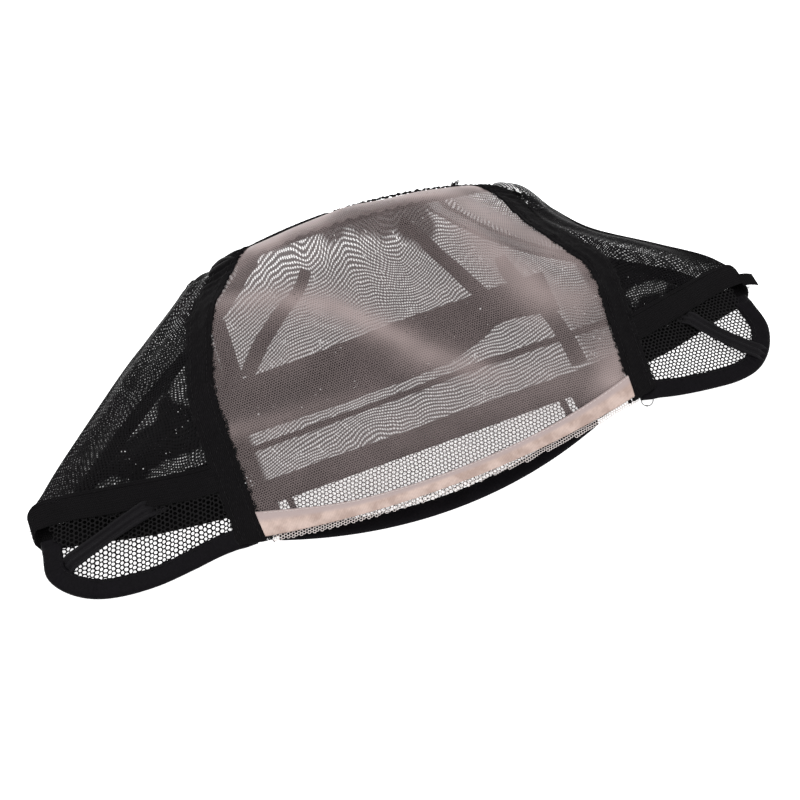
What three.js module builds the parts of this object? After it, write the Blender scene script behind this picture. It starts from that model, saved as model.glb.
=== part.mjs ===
// A lace wig cap that lies flattened on a surface, its lace front up and its rim towards -Y.
// Millimetres, +Z up. The origin is on the surface, under the middle of the cap.
import * as THREE from "three";

// Overall form.
const SPAN = 302; // side fold to side fold, along X
const DEPTH = 133; // nape rim to crown seam, along Y
const CREST = 42; // top of the mound above the surface
const FOLD_LOOP = 8.5; // outside height of the tallest side fold
const CROWN_EDGE = 13; // height of the back layer where it meets the crown seam
const CROWN_BOW = 6; // how far the crown seam's ends lie in front of its middle
const BOW_START = 0.4; // place along the cap from which its sections bow forwards

// Cloth walls, and how far each stands inside the outermost face of the form.
const CLOTH_WALL = 1.0; // lace, mesh and net
const CLOTH_SINK = 0.2;
const TAPE_WALL = 1.4; // seam ribbons and elastic band
const BINDING_WALL = 2.0; // folded tape round the rim
const TRIM_WALL = 1.0; // tapes and straps laid on a cloth
const SEAM_GAP = 0.5; // between cloths that meet edge to edge
const LAID_GAP = 0.3; // between a tape and the cloth that it lies on

// Widths of the sewn parts.
const SEAM_RIBBON = 10.5;
const ELASTIC_BAND = 10;
const RIM_BINDING = 7.5;
const NAPE_BINDING = 6.5;
const HAIRLINE_TAPE = 5.2; // at the hairline's middle
const HAIRLINE_FLARE = 3.2; // how much wider it is at the hairline's ends
const LACE_SELVAGE = 2.4;
const BACK_RIBBON = 9;
const STRAP = 6.2;
const NAPE_END_TAPE = 4;
const CROWN_CORD = 4.6; // height of the gathered seam along the crown
const CROWN_GATHERS = 14;
const GATHER_DEPTH = 0.1; // share of the seam's height that each gather pinches off its upper and lower edge

// Rows of faces from the rim to the crown, alike in panels that meet along their sides.
const BACK_ROWS = 14;
const FRONT_ROWS = 18;
const RIBBON_ROWS = 30;

// Places of the panels' edges.
const LACE_LEFT = 71; // lace edge left and right of the middle, at its widest
const LACE_RIGHT = 86;
const HAIRLINE_RISE = 11; // how far the hairline's ends lie back of its middle
const HAIRLINE_BACK = 4.5; // hairline's middle behind the nape rim
const NAPE_HALF = 66; // nape panel's half width
const NAPE_RISE = 12.5; // how far the nape rim's ends lie back of its middle
const TAB_TOP = 0.32; // ear tab's upper edge, as a share of DEPTH from the rim
const TAB_DEPTH = 34; // ear tab, from the fold's end to its lowest edge
const BACK_RIBBON_RIM = 0.02; // back ribbon's distance from the fold, as a share of half the SPAN, at the rim
const BACK_RIBBON_CROWN = 0.14; // and at the crown

// The coarse net of the ear tabs and the nape.
const NET_PITCH = 5.8;
const NET_BAR = 1.3;

// Sections across the cap, rim first. depth is a share of DEPTH from the nape rim, left and right are
// shares of half the SPAN, crest of CREST, fold of FOLD_LOOP and base of CROWN_EDGE. bell shapes the
// mound between the crest and the folds: the larger, the narrower.
const SECTIONS = [
  { depth: 0.0, left: 1.0, right: 1.0, crest: 0.2, fold: 0.25, base: 0, bell: 2.4 },
  { depth: 0.13, left: 1.0, right: 1.0, crest: 0.26, fold: 0.3, base: 0, bell: 2.0 },
  { depth: 0.27, left: 1.0, right: 1.0, crest: 0.4, fold: 0.5, base: 0, bell: 1.5 },
  { depth: 0.41, left: 1.0, right: 1.0, crest: 0.6, fold: 0.68, base: 0, bell: 1.2 },
  { depth: 0.48, left: 0.95, right: 0.97, crest: 0.71, fold: 0.72, base: 0, bell: 1.1 },
  { depth: 0.61, left: 0.84, right: 0.845, crest: 0.86, fold: 0.8, base: 0, bell: 1.0 },
  { depth: 0.745, left: 0.715, right: 0.7, crest: 0.97, fold: 0.95, base: 0, bell: 0.9 },
  { depth: 0.85, left: 0.6, right: 0.615, crest: 1.0, fold: 1.0, base: 0.06, bell: 0.75 },
  { depth: 0.92, left: 0.52, right: 0.555, crest: 0.89, fold: 0.95, base: 0.33, bell: 0.6 },
  { depth: 0.96, left: 0.47, right: 0.51, crest: 0.7, fold: 0.8, base: 0.7, bell: 0.5 },
  { depth: 0.98, left: 0.43, right: 0.475, crest: 0.44, fold: 0.64, base: 1.0, bell: 0.5 },
];

// Soft folds of the top layer: a ridge or dent along a line. x is a share of half the SPAN and y of DEPTH
// from the rim, lift and spread are shares of CREST.
const SOFT_FOLDS = [
  { x0: -0.37, y0: 0.756, x1: 0.17, y1: 0.335, lift: 0.06, spread: 0.17 },
  { x0: 0.32, y0: 0.67, x1: 0.55, y1: 0.44, lift: 0.045, spread: 0.15 },
  { x0: -0.47, y0: 0.4, x1: 0.11, y1: 0.35, lift: 0.03, spread: 0.12 },
  { x0: -0.4, y0: 0.55, x1: -0.1, y1: 0.45, lift: -0.045, spread: 0.2 },
  { x0: 0.02, y0: 0.7, x1: 0.3, y1: 0.5, lift: -0.045, spread: 0.24 },
  { x0: -0.62, y0: 0.62, x1: -0.5, y1: 0.36, lift: -0.03, spread: 0.24 },
];

// Side edges of the lace, on the top layer: shares of LACE_LEFT and LACE_RIGHT at shares of DEPTH.
const LACE_EDGES = [
  { depth: 0.0, left: 0.98, right: 0.93 },
  { depth: 0.2, left: 1.0, right: 0.97 },
  { depth: 0.4, left: 1.0, right: 1.0 },
  { depth: 0.52, left: 0.99, right: 1.01 },
  { depth: 0.62, left: 0.94, right: 0.93 },
  { depth: 0.74, left: 0.86, right: 0.83 },
  { depth: 0.86, left: 0.67, right: 0.77 },
  { depth: 0.974, left: 0.5, right: 0.68 },
];

// Lower edge of the elastic band round the cap. girth counts 0 at the top's middle, 1 at a side fold's
// upper end, 2 at its lower end and 3 at the back's middle; lower is a share of DEPTH from the rim.
const BAND_EDGE = [
  { girth: 0.4, lower: 0.25 },
  { girth: 0.6, lower: 0.272 },
  { girth: 0.8, lower: 0.32 },
  { girth: 1.0, lower: 0.365 },
  { girth: 1.5, lower: 0.34 },
  { girth: 2.0, lower: 0.308 },
  { girth: 2.3, lower: 0.24 },
  { girth: 2.56, lower: 0.212 },
  { girth: 3.0, lower: 0.212 },
];

// Outer edge of an ear tab's binding, from the seam ribbon round to the fold: out is a share of half the
// SPAN, left and right are shares of TAB_DEPTH below the fold's end.
const TAB_EDGE = [
  { out: 0.5, left: 0.88, right: 0.82 },
  { out: 0.58, left: 0.87, right: 0.85 },
  { out: 0.66, left: 0.9, right: 0.92 },
  { out: 0.75, left: 0.92, right: 0.97 },
  { out: 0.84, left: 0.88, right: 0.99 },
  { out: 0.91, left: 0.78, right: 0.92 },
  { out: 0.965, left: 0.6, right: 0.72 },
  { out: 0.995, left: 0.38, right: 0.44 },
  { out: 0.99, left: 0.14, right: 0.14 },
];

// Tapes laid inside the back layer. line gives the points of a middle line, each a share of half the SPAN
// and of DEPTH from the rim, and steps how many faces the tape has along it.
const INNER_TAPES = {
  back_cross_band: { line: [[-0.5, 0.555], [0.5, 0.555]], width: 22, steps: 6 },
  back_line_tape: { line: [[-0.62, 0.41], [0.62, 0.41]], width: 4, steps: 6 },
  crown_ribbon_left: { line: [[-0.3, 0.68], [-0.18, 0.82], [-0.1, 0.92]], width: 5, steps: 8 },
  crown_ribbon_right: { line: [[0.42, 0.68], [0.38, 0.8], [0.36, 0.92]], width: 5, steps: 8 },
};

// The adjusting straps, from the binding in to the band: shares as in TAB_EDGE.
const STRAPS = {
  left: { out0: 0.932, low0: 0.33, out1: 0.717, low1: 0.11 },
  right: { out0: 0.934, low0: 0.76, out1: 0.796, low1: 0.09 },
};

const HALF = SPAN / 2;
const RIM_Y = -DEPTH / 2;
const TAB_TOP_Y = RIM_Y + TAB_TOP * DEPTH;
const CROWN_END = 1; // place of the crown seam along the cap
const TINY = 1e-3;

const depthToY = (share) => RIM_Y + share * DEPTH;

// A smooth curve through rows of xs and ys that never swings past a row.
function smoothRows(xs, ys) {
  const last = xs.length - 1;
  const slopes = xs.slice(1).map((x, i) => (ys[i + 1] - ys[i]) / (x - xs[i]));
  const tangents = ys.map((_, i) => {
    if (i === 0) return slopes[0];
    if (i === last) return slopes[last - 1];
    const before = slopes[i - 1];
    const after = slopes[i];
    return before * after <= 0 ? 0 : (2 * before * after) / (before + after);
  });
  return (x) => {
    let i = 0;
    while (i < last - 1 && x > xs[i + 1]) i += 1;
    const width = xs[i + 1] - xs[i];
    const t = THREE.MathUtils.clamp((x - xs[i]) / width, 0, 1);
    const rise = t * t * (3 - 2 * t);
    const bow = t * (1 - t) * width;
    return ys[i] + rise * (ys[i + 1] - ys[i]) + bow * ((1 - t) * tangents[i] - t * tangents[i + 1]);
  };
}

// A section's place along the cap, from 0 at the rim to 1 at the crown, by the length of the crest line.
function sectionPlaces() {
  const places = [0];
  for (let i = 1; i < SECTIONS.length; i += 1) {
    const along = (SECTIONS[i].depth - SECTIONS[i - 1].depth) * DEPTH;
    const rise = (SECTIONS[i].crest - SECTIONS[i - 1].crest) * CREST;
    places.push(places[i - 1] + Math.hypot(along, rise));
  }
  return places.map((place) => place / places[places.length - 1]);
}

const PLACES = sectionPlaces();
const sectionCurve = (read) => smoothRows(PLACES, SECTIONS.map(read));
const section = {
  y: sectionCurve((row) => depthToY(row.depth)),
  left: sectionCurve((row) => row.left * HALF),
  right: sectionCurve((row) => row.right * HALF),
  crest: sectionCurve((row) => row.crest * CREST),
  fold: sectionCurve((row) => row.fold * FOLD_LOOP),
  base: sectionCurve((row) => row.base * CROWN_EDGE),
  bell: sectionCurve((row) => row.bell),
};

// The y of a point at a share of the section's half width: the sections bow forwards near the crown.
function bowedY(share, place) {
  const bow = THREE.MathUtils.smoothstep(place, BOW_START, 1) * CROWN_BOW;
  return section.y(place) - bow * Math.min(1, share * share);
}

// The section's place at which a point at a share of the half width has the given y, by halving.
function placeOfY(y, share = 0) {
  let low = 0;
  let high = 1;
  for (let i = 0; i < 24; i += 1) {
    const middle = (low + high) / 2;
    if (bowedY(share, middle) < y) low = middle;
    else high = middle;
  }
  return (low + high) / 2;
}

// Half width of the section's flat part on one side, up to where the side fold starts to turn.
function flatHalf(sign, place) {
  const half = sign < 0 ? section.left(place) : section.right(place);
  return half - section.fold(place) / 2;
}

// Height that the soft folds add at a point of the top layer.
function softFolds(x, y) {
  let height = 0;
  for (const row of SOFT_FOLDS) {
    const start = new THREE.Vector2(row.x0 * HALF, depthToY(row.y0));
    const line = new THREE.Vector2(row.x1 * HALF, depthToY(row.y1)).sub(start);
    const offset = new THREE.Vector2(x, y).sub(start);
    const share = THREE.MathUtils.clamp(offset.dot(line) / line.lengthSq(), 0, 1);
    const distance = offset.addScaledVector(line, -share).length() / (row.spread * CREST);
    height += row.lift * CREST * Math.exp(-distance * distance);
  }
  return height;
}

// The outermost face of the cap. girth runs 0 at the top's middle, 1 to 2 round the right side fold, 3 at
// the back's middle, 4 to 5 round the left fold and 6 at the top's middle again, or from 0 down to -3.
function formPoint(girth, place) {
  const turn = THREE.MathUtils.euclideanModulo(girth + 3, 6) - 3;
  const sign = turn < 0 ? -1 : 1;
  const stage = Math.abs(turn);
  const flat = flatHalf(sign, place);
  const fold = section.fold(place);
  const base = section.base(place);
  const y = bowedY(stage <= 2 ? stage : 3 - stage, place);
  if (stage <= 1) {
    const mound = section.crest(place) - base - fold;
    const bell = Math.pow(1 - stage * stage, section.bell(place));
    const x = sign * stage * flat;
    return new THREE.Vector3(x, y, base + fold + mound * bell + softFolds(x, y) * Math.min(1, 4 * bell));
  }
  if (stage <= 2) {
    const angle = Math.PI * (stage - 1);
    const x = sign * (flat + (fold / 2) * Math.sin(angle));
    return new THREE.Vector3(x, y, base + (fold / 2) * (1 + Math.cos(angle)));
  }
  return new THREE.Vector3(sign * (3 - stage) * flat, y, base);
}

// A point that stands the given lift out of the form's face, or sunk in it where the lift is negative.
function liftedPoint(girth, place, lift) {
  const point = formPoint(girth, place);
  const before = Math.min(place, 1 - TINY);
  const across = formPoint(girth + TINY, before).sub(formPoint(girth - TINY, before));
  const along = formPoint(girth, before + TINY).sub(formPoint(girth, Math.max(0, before - TINY)));
  const normal = across.cross(along).normalize();
  return point.addScaledVector(normal, lift);
}

// The girth at which the top layer has the given x.
const girthOfX = (x, place) => x / flatHalf(x, place);

// A closed body between an upper and a lower grid of points, with its faces turned outwards.
function slabGeometry(columns, rows, facesAt) {
  const positions = [];
  for (const face of ["upper", "lower"]) {
    for (let j = 0; j <= rows; j += 1) {
      for (let i = 0; i <= columns; i += 1) {
        positions.push(...facesAt(i / columns, j / rows)[face].toArray());
      }
    }
  }
  const width = columns + 1;
  const layer = width * (rows + 1);
  const at = (i, j) => j * width + i;
  const indices = [];
  const quad = (a, b, c, d) => indices.push(a, b, c, a, c, d);
  for (let j = 0; j < rows; j += 1) {
    for (let i = 0; i < columns; i += 1) {
      quad(at(i, j), at(i + 1, j), at(i + 1, j + 1), at(i, j + 1));
      quad(layer + at(i, j), layer + at(i, j + 1), layer + at(i + 1, j + 1), layer + at(i + 1, j));
    }
  }
  const wall = (a, b) => quad(b, a, layer + a, layer + b);
  for (let i = 0; i < columns; i += 1) {
    wall(at(i, 0), at(i + 1, 0));
    wall(at(i + 1, rows), at(i, rows));
  }
  for (let j = 0; j < rows; j += 1) {
    wall(at(0, j + 1), at(0, j));
    wall(at(columns, j), at(columns, j + 1));
  }
  const geometry = new THREE.BufferGeometry();
  geometry.setAttribute("position", new THREE.Float32BufferAttribute(positions, 3));
  geometry.setIndex(indices);
  return faceOutwards(geometry);
}

// Turns every face of a closed body round if they point inwards.
function faceOutwards(geometry) {
  const position = geometry.getAttribute("position");
  const index = geometry.getIndex();
  const corner = (i) => new THREE.Vector3().fromBufferAttribute(position, index.getX(i));
  let volume = 0;
  for (let i = 0; i < index.count; i += 3) volume += corner(i).dot(corner(i + 1).cross(corner(i + 2)));
  if (volume < 0) {
    for (let i = 0; i < index.count; i += 3) {
      const swapped = index.getX(i + 1);
      index.setX(i + 1, index.getX(i + 2));
      index.setX(i + 2, swapped);
    }
  }
  return geometry;
}

// A panel of cloth that follows the form between two edges across it and two along it.
// start and end give girths at a place; low and high give places at a girth.
function panelGeometry({ start, end, low, high, columns, rows, lift, wall }) {
  return slabGeometry(columns, rows, (a, b) => {
    let place = 0.5;
    let girth = 0;
    for (let i = 0; i < 12; i += 1) {
      girth = THREE.MathUtils.lerp(start(place), end(place), a);
      place = THREE.MathUtils.lerp(low(girth), high(girth), b);
    }
    return { upper: liftedPoint(girth, place, lift), lower: liftedPoint(girth, place, lift - wall) };
  });
}

const laceEdge = (read) => smoothRows(LACE_EDGES.map((row) => depthToY(row.depth)), LACE_EDGES.map(read));
const laceLeft = laceEdge((row) => row.left * LACE_LEFT);
const laceRight = laceEdge((row) => row.right * LACE_RIGHT);

// Distance of a line beside the lace from the cap's middle, as far outwards of the lace's edge as given.
function besideLace(sign, y, outward) {
  const edge = sign < 0 ? laceLeft : laceRight;
  const lean = edge(y + 1) - edge(y - 1);
  return edge(y) + outward * Math.hypot(1, lean / 2);
}

// Girth of a line beside the lace at a place.
function laceEdgeGirth(sign, place, outward) {
  return girthOfX(sign * besideLace(sign, section.y(place), outward), place);
}

const bandLower = smoothRows(BAND_EDGE.map((row) => row.girth), BAND_EDGE.map((row) => depthToY(row.lower)));

// Place of the band's lower edge at a girth, moved towards the crown by the given distance.
function bandPlace(girth, beyond) {
  const turn = THREE.MathUtils.euclideanModulo(girth + 3, 6) - 3;
  return placeOfY(bandLower(Math.abs(turn)) + beyond);
}

const hairlineY = (x) => RIM_Y + HAIRLINE_BACK + HAIRLINE_RISE * (x / LACE_RIGHT) ** 2;
const napeY = (x) => RIM_Y + NAPE_RISE * (x / NAPE_HALF) ** 2;

// Place of the hairline at a girth, moved towards the crown by the given distance.
const hairlinePlace = (girth, beyond) => placeOfY(hairlineY(girth * flatHalf(girth, 0)) + beyond);

// The lace, from the hairline to the crown seam.
function laceFront() {
  return panelGeometry({
    start: (place) => laceEdgeGirth(-1, place, -SEAM_GAP),
    end: (place) => laceEdgeGirth(1, place, -SEAM_GAP),
    low: (girth) => hairlinePlace(girth, 0),
    high: () => CROWN_END,
    columns: 16,
    rows: FRONT_ROWS,
    lift: -CLOTH_SINK,
    wall: CLOTH_WALL,
  });
}

// Width of the hairline tape at an x, in plan.
const tapeWidth = (x) => HAIRLINE_TAPE + HAIRLINE_FLARE * (x / LACE_RIGHT) ** 2;

// The soft tape sewn on the lace behind its selvage.
function hairlineTape() {
  return panelGeometry({
    start: (place) => laceEdgeGirth(-1, place, -SEAM_GAP),
    end: (place) => laceEdgeGirth(1, place, -SEAM_GAP),
    low: (girth) => hairlinePlace(girth, LACE_SELVAGE),
    high: (girth) => hairlinePlace(girth, LACE_SELVAGE + tapeWidth(girth * flatHalf(girth, 0))),
    columns: 16,
    rows: 1,
    lift: LAID_GAP - CLOTH_SINK + TRIM_WALL,
    wall: TRIM_WALL,
  });
}

// The ribbon that covers the seam of the lace with a side mesh, from the rim to the crown.
function seamRibbon(sign) {
  const near = (place) => laceEdgeGirth(sign, place, 0);
  const far = (place) => laceEdgeGirth(sign, place, SEAM_RIBBON);
  return panelGeometry({
    start: sign < 0 ? far : near,
    end: sign < 0 ? near : far,
    low: (girth) => hairlinePlace(girth, 0),
    high: () => CROWN_END,
    columns: 2,
    rows: RIBBON_ROWS,
    lift: 0,
    wall: TAPE_WALL,
  });
}

// Girth of the back ribbon's outer edge on the back layer, moved inwards by the given distance.
function backRibbonGirth(sign, place, inward) {
  const offset = THREE.MathUtils.lerp(BACK_RIBBON_RIM, BACK_RIBBON_CROWN, place) * HALF + inward;
  return sign * (2 + offset / flatHalf(sign, place));
}

// A side mesh: from the seam ribbon over the side fold to the ribbon on the back layer.
function sideMesh(sign) {
  const near = (place) => laceEdgeGirth(sign, place, SEAM_RIBBON + SEAM_GAP);
  const far = (place) => backRibbonGirth(sign, place, -SEAM_GAP);
  return panelGeometry({
    start: sign < 0 ? far : near,
    end: sign < 0 ? near : far,
    low: (girth) => bandPlace(girth, ELASTIC_BAND + SEAM_GAP),
    high: () => CROWN_END,
    columns: 18,
    rows: BACK_ROWS,
    lift: -CLOTH_SINK,
    wall: CLOTH_WALL,
  });
}

// The ribbon on the back layer between a side mesh and the back mesh.
function backRibbon(sign) {
  const near = (place) => backRibbonGirth(sign, place, 0);
  const far = (place) => backRibbonGirth(sign, place, BACK_RIBBON);
  return panelGeometry({
    start: sign < 0 ? far : near,
    end: sign < 0 ? near : far,
    low: (girth) => bandPlace(girth, ELASTIC_BAND + SEAM_GAP),
    high: () => CROWN_END,
    columns: 1,
    rows: BACK_ROWS,
    lift: 0,
    wall: TAPE_WALL,
  });
}

// The mesh of the back layer, between the back ribbons.
function backMesh() {
  return panelGeometry({
    start: (place) => backRibbonGirth(1, place, BACK_RIBBON + SEAM_GAP),
    end: (place) => 6 + backRibbonGirth(-1, place, BACK_RIBBON + SEAM_GAP),
    low: (girth) => bandPlace(girth, ELASTIC_BAND + SEAM_GAP),
    high: () => CROWN_END,
    columns: 12,
    rows: BACK_ROWS,
    lift: -CLOTH_SINK,
    wall: CLOTH_WALL,
  });
}

// The elastic band, from one seam ribbon round the back to the other.
function elasticBand() {
  return panelGeometry({
    start: (place) => laceEdgeGirth(1, place, SEAM_RIBBON + SEAM_GAP),
    end: (place) => 6 + laceEdgeGirth(-1, place, SEAM_RIBBON + SEAM_GAP),
    low: (girth) => bandPlace(girth, 0),
    high: (girth) => bandPlace(girth, ELASTIC_BAND),
    columns: 72,
    rows: 1,
    lift: 0,
    wall: TAPE_WALL,
  });
}

// Height of the form's top layer over a point of the plan.
function topHeight(x, y) {
  const place = placeOfY(y);
  return formPoint(THREE.MathUtils.clamp(girthOfX(x, place), -1, 1), place).z;
}

// Outer edge of an ear tab in plan, as a smooth curve from the seam ribbon to the fold.
function tabCurve(sign) {
  const side = sign < 0 ? "left" : "right";
  const tabPoint = (row) => new THREE.Vector2(sign * row.out * HALF, TAB_TOP_Y - row[side] * TAB_DEPTH);
  return new THREE.SplineCurve(TAB_EDGE.map(tabPoint));
}

// A point of the tab's edge in plan, moved inwards from its outer edge.
function tabEdgePoint(sign, share, inward) {
  const curve = tabCurve(sign);
  const tangent = curve.getTangent(share);
  const inside = new THREE.Vector2(-tangent.y, tangent.x).multiplyScalar(sign);
  return curve.getPoint(share).addScaledVector(inside, inward);
}

// The folded tape's cross section: across is a share of its width from the outer edge, thick of its wall.
const FOLDED_TAPE = [
  { across: 0, thick: 0.4 },
  { across: 0.14, thick: 0.9 },
  { across: 0.5, thick: 1.0 },
  { across: 1, thick: 0.85 },
];

// The binding of an ear tab, from the seam ribbon round the tab's outer end to the band.
function tabBinding(sign) {
  return slabGeometry(30, FOLDED_TAPE.length - 1, (a, b) => {
    const row = FOLDED_TAPE[Math.round(b * (FOLDED_TAPE.length - 1))];
    const plan = tabEdgePoint(sign, THREE.MathUtils.lerp(TAB_START[sign], 1, a), row.across * RIM_BINDING);
    const middle = topHeight(plan.x, plan.y) - BINDING_WALL / 2;
    const half = (row.thick * BINDING_WALL) / 2;
    return {
      upper: new THREE.Vector3(plan.x, plan.y, middle + half),
      lower: new THREE.Vector3(plan.x, plan.y, middle - half),
    };
  });
}

// Share of the tab's edge at which the binding's whole width clears the seam ribbon.
function tabStart(sign) {
  const clears = (share, inward) => {
    const point = tabEdgePoint(sign, share, inward);
    return Math.abs(point.x) >= besideLace(sign, point.y, SEAM_RIBBON + SEAM_GAP);
  };
  let share = 0;
  while (!(clears(share, 0) && clears(share, RIM_BINDING)) && share < 0.5) share += TINY;
  return share;
}

const TAB_START = { "-1": tabStart(-1), 1: tabStart(1) };

// True where a point lies inside a closed outline.
function isInside(point, outline) {
  let inside = false;
  for (let i = 0, j = outline.length - 1; i < outline.length; j = i, i += 1) {
    const a = outline[i];
    const b = outline[j];
    const crosses = a.y > point.y !== b.y > point.y;
    if (crosses && point.x < ((b.x - a.x) * (point.y - a.y)) / (b.y - a.y) + a.x) inside = !inside;
  }
  return inside;
}

// Corners of a hexagon with two of them along X.
const hexagon = (centre, radius) =>
  Array.from({ length: 6 }, (_, i) => {
    const angle = (Math.PI / 3) * i;
    return new THREE.Vector2(centre.x + radius * Math.cos(angle), centre.y + radius * Math.sin(angle));
  });

// A net with an outline in plan, pierced by every whole hexagon that fits, its lower face at heightAt.
function netGeometry(outline, heightAt) {
  const shape = new THREE.Shape(outline);
  const radius = (NET_PITCH - NET_BAR) / Math.sqrt(3);
  const clear = radius + NET_BAR / Math.sqrt(3) + NET_BAR / 2;
  const box = new THREE.Box2().setFromPoints(outline);
  const column = (NET_PITCH * Math.sqrt(3)) / 2;
  for (let i = 0; box.min.x + i * column < box.max.x; i += 1) {
    for (let j = 0; box.min.y + j * NET_PITCH < box.max.y; j += 1) {
      const centre = new THREE.Vector2(box.min.x + i * column, box.min.y + (j + (i % 2) / 2) * NET_PITCH);
      if (!hexagon(centre, clear).every((corner) => isInside(corner, outline))) continue;
      shape.holes.push(new THREE.Path(hexagon(centre, radius).reverse()));
    }
  }
  const flatWall = { depth: CLOTH_WALL, bevelEnabled: false, curveSegments: 1 };
  const geometry = new THREE.ExtrudeGeometry(shape, flatWall);
  geometry.deleteAttribute("normal");
  geometry.deleteAttribute("uv");
  const position = geometry.getAttribute("position");
  for (let i = 0; i < position.count; i += 1) {
    position.setZ(i, position.getZ(i) + heightAt(position.getX(i), position.getY(i)));
  }
  return geometry;
}

// The plan outline of an ear tab's net, inside the seam ribbon, the band and the binding.
function tabNetOutline(sign) {
  const outline = [];
  const steps = 14;
  for (let i = 0; i <= steps; i += 1) {
    const share = THREE.MathUtils.lerp(TAB_START[sign], 1, i / steps);
    outline.push(tabEdgePoint(sign, share, RIM_BINDING + SEAM_GAP));
  }
  const bandY = (x) => bandLower(Math.abs(x) / flatHalf(sign, 0)) - SEAM_GAP;
  const outer = Math.abs(outline[steps].x);
  const inner = besideLace(sign, bandY(Math.abs(outline[0].x)), SEAM_RIBBON + SEAM_GAP);
  for (let i = 1; i <= steps; i += 1) {
    const x = sign * THREE.MathUtils.lerp(outer, inner, i / steps);
    outline.push(new THREE.Vector2(x, bandY(x)));
  }
  const ribbonSteps = 3;
  for (let i = 1; i <= ribbonSteps; i += 1) {
    const y = THREE.MathUtils.lerp(bandY(inner), outline[0].y, i / (ribbonSteps + 1));
    outline.push(new THREE.Vector2(sign * besideLace(sign, y, SEAM_RIBBON + SEAM_GAP), y));
  }
  return sign > 0 ? outline : outline.reverse();
}

// The net of an ear tab, under the top layer's face.
function tabNet(sign) {
  return netGeometry(tabNetOutline(sign), (x, y) => topHeight(x, y) - CLOTH_SINK - CLOTH_WALL);
}

// The nape net, on the back layer between the band and the nape's binding.
function napeNet() {
  const outline = [];
  const steps = 12;
  const half = NAPE_HALF - NAPE_END_TAPE - SEAM_GAP;
  for (let i = 0; i <= steps; i += 1) {
    const x = THREE.MathUtils.lerp(-half, half, i / steps);
    outline.push(new THREE.Vector2(x, napeY(x) + NAPE_BINDING + SEAM_GAP));
  }
  for (let i = 0; i <= steps; i += 1) {
    const x = THREE.MathUtils.lerp(half, -half, i / steps);
    outline.push(new THREE.Vector2(x, bandLower(3 - Math.abs(x) / flatHalf(x, 0)) - SEAM_GAP));
  }
  return netGeometry(outline, () => CLOTH_SINK);
}

// The binding along the nape's rim.
function napeBinding() {
  return slabGeometry(24, FOLDED_TAPE.length - 1, (a, b) => {
    const row = FOLDED_TAPE[Math.round(b * (FOLDED_TAPE.length - 1))];
    const x = THREE.MathUtils.lerp(-NAPE_HALF, NAPE_HALF, a);
    const y = napeY(x) + row.across * NAPE_BINDING;
    return {
      upper: new THREE.Vector3(x, y, row.thick * BINDING_WALL),
      lower: new THREE.Vector3(x, y, 0),
    };
  });
}

// The short tape that closes the nape net's side, from its binding to the band.
function napeEndTape(sign) {
  return slabGeometry(1, 2, (a, b) => {
    const x = sign * (NAPE_HALF - NAPE_END_TAPE * a);
    const low = napeY(x) + NAPE_BINDING + SEAM_GAP;
    const high = bandLower(3 - Math.abs(x) / flatHalf(x, 0)) - SEAM_GAP;
    const y = THREE.MathUtils.lerp(low, high, b);
    return { upper: new THREE.Vector3(x, y, TAPE_WALL), lower: new THREE.Vector3(x, y, 0) };
  });
}

// Where a straight line through a point inside an outline leaves it, ahead of the point.
function reachInside(outline, from, direction) {
  let reach = Infinity;
  for (let i = 0; i < outline.length; i += 1) {
    const a = outline[i];
    const edge = outline[(i + 1) % outline.length].clone().sub(a);
    const cross = direction.cross(edge);
    if (Math.abs(cross) < TINY) continue;
    const offset = a.clone().sub(from);
    const ahead = offset.cross(edge) / cross;
    const along = offset.cross(direction) / cross;
    if (ahead > 0 && along >= 0 && along <= 1) reach = Math.min(reach, ahead);
  }
  return reach;
}

// An adjusting strap, laid on the tab's net from the binding to the band.
function strapGeometry(sign) {
  const row = sign < 0 ? STRAPS.left : STRAPS.right;
  const start = new THREE.Vector2(sign * row.out0 * HALF, TAB_TOP_Y - row.low0 * TAB_DEPTH);
  const end = new THREE.Vector2(sign * row.out1 * HALF, TAB_TOP_Y - row.low1 * TAB_DEPTH);
  const outline = tabNetOutline(sign);
  const direction = end.clone().sub(start).normalize();
  const side = new THREE.Vector2(-direction.y, direction.x);
  const middle = start.clone().lerp(end, 0.5);
  return slabGeometry(4, 8, (a, b) => {
    const from = middle.clone().addScaledVector(side, (a - 0.5) * STRAP);
    const back = reachInside(outline, from, direction.clone().negate());
    const ahead = reachInside(outline, from, direction);
    const plan = from.addScaledVector(direction, THREE.MathUtils.lerp(-back, ahead, b));
    const low = topHeight(plan.x, plan.y) - CLOTH_SINK + LAID_GAP;
    return {
      upper: new THREE.Vector3(plan.x, plan.y, low + TRIM_WALL),
      lower: new THREE.Vector3(plan.x, plan.y, low),
    };
  });
}

// A tape laid inside the cap on the back layer, along a line in plan.
function backTape({ line, width, steps }) {
  const points = line.map(([x, depth]) => new THREE.Vector2(x * HALF, depthToY(depth)));
  const curve = points.length > 2 ? new THREE.SplineCurve(points) : new THREE.LineCurve(points[0], points[1]);
  return slabGeometry(steps, 1, (a, b) => {
    const tangent = curve.getTangent(a);
    const side = new THREE.Vector2(-tangent.y, tangent.x);
    const plan = curve.getPoint(a).add(side.multiplyScalar((b - 0.5) * width));
    let place = placeOfY(plan.y);
    for (let i = 0; i < 4; i += 1) place = placeOfY(plan.y, Math.abs(girthOfX(plan.x, place)));
    const girth = Math.sign(plan.x || 1) * (3 - Math.abs(girthOfX(plan.x, place)));
    const sunk = -TAPE_WALL - LAID_GAP;
    return {
      upper: liftedPoint(girth, place, sunk - TRIM_WALL),
      lower: liftedPoint(girth, place, sunk),
    };
  });
}

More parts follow.
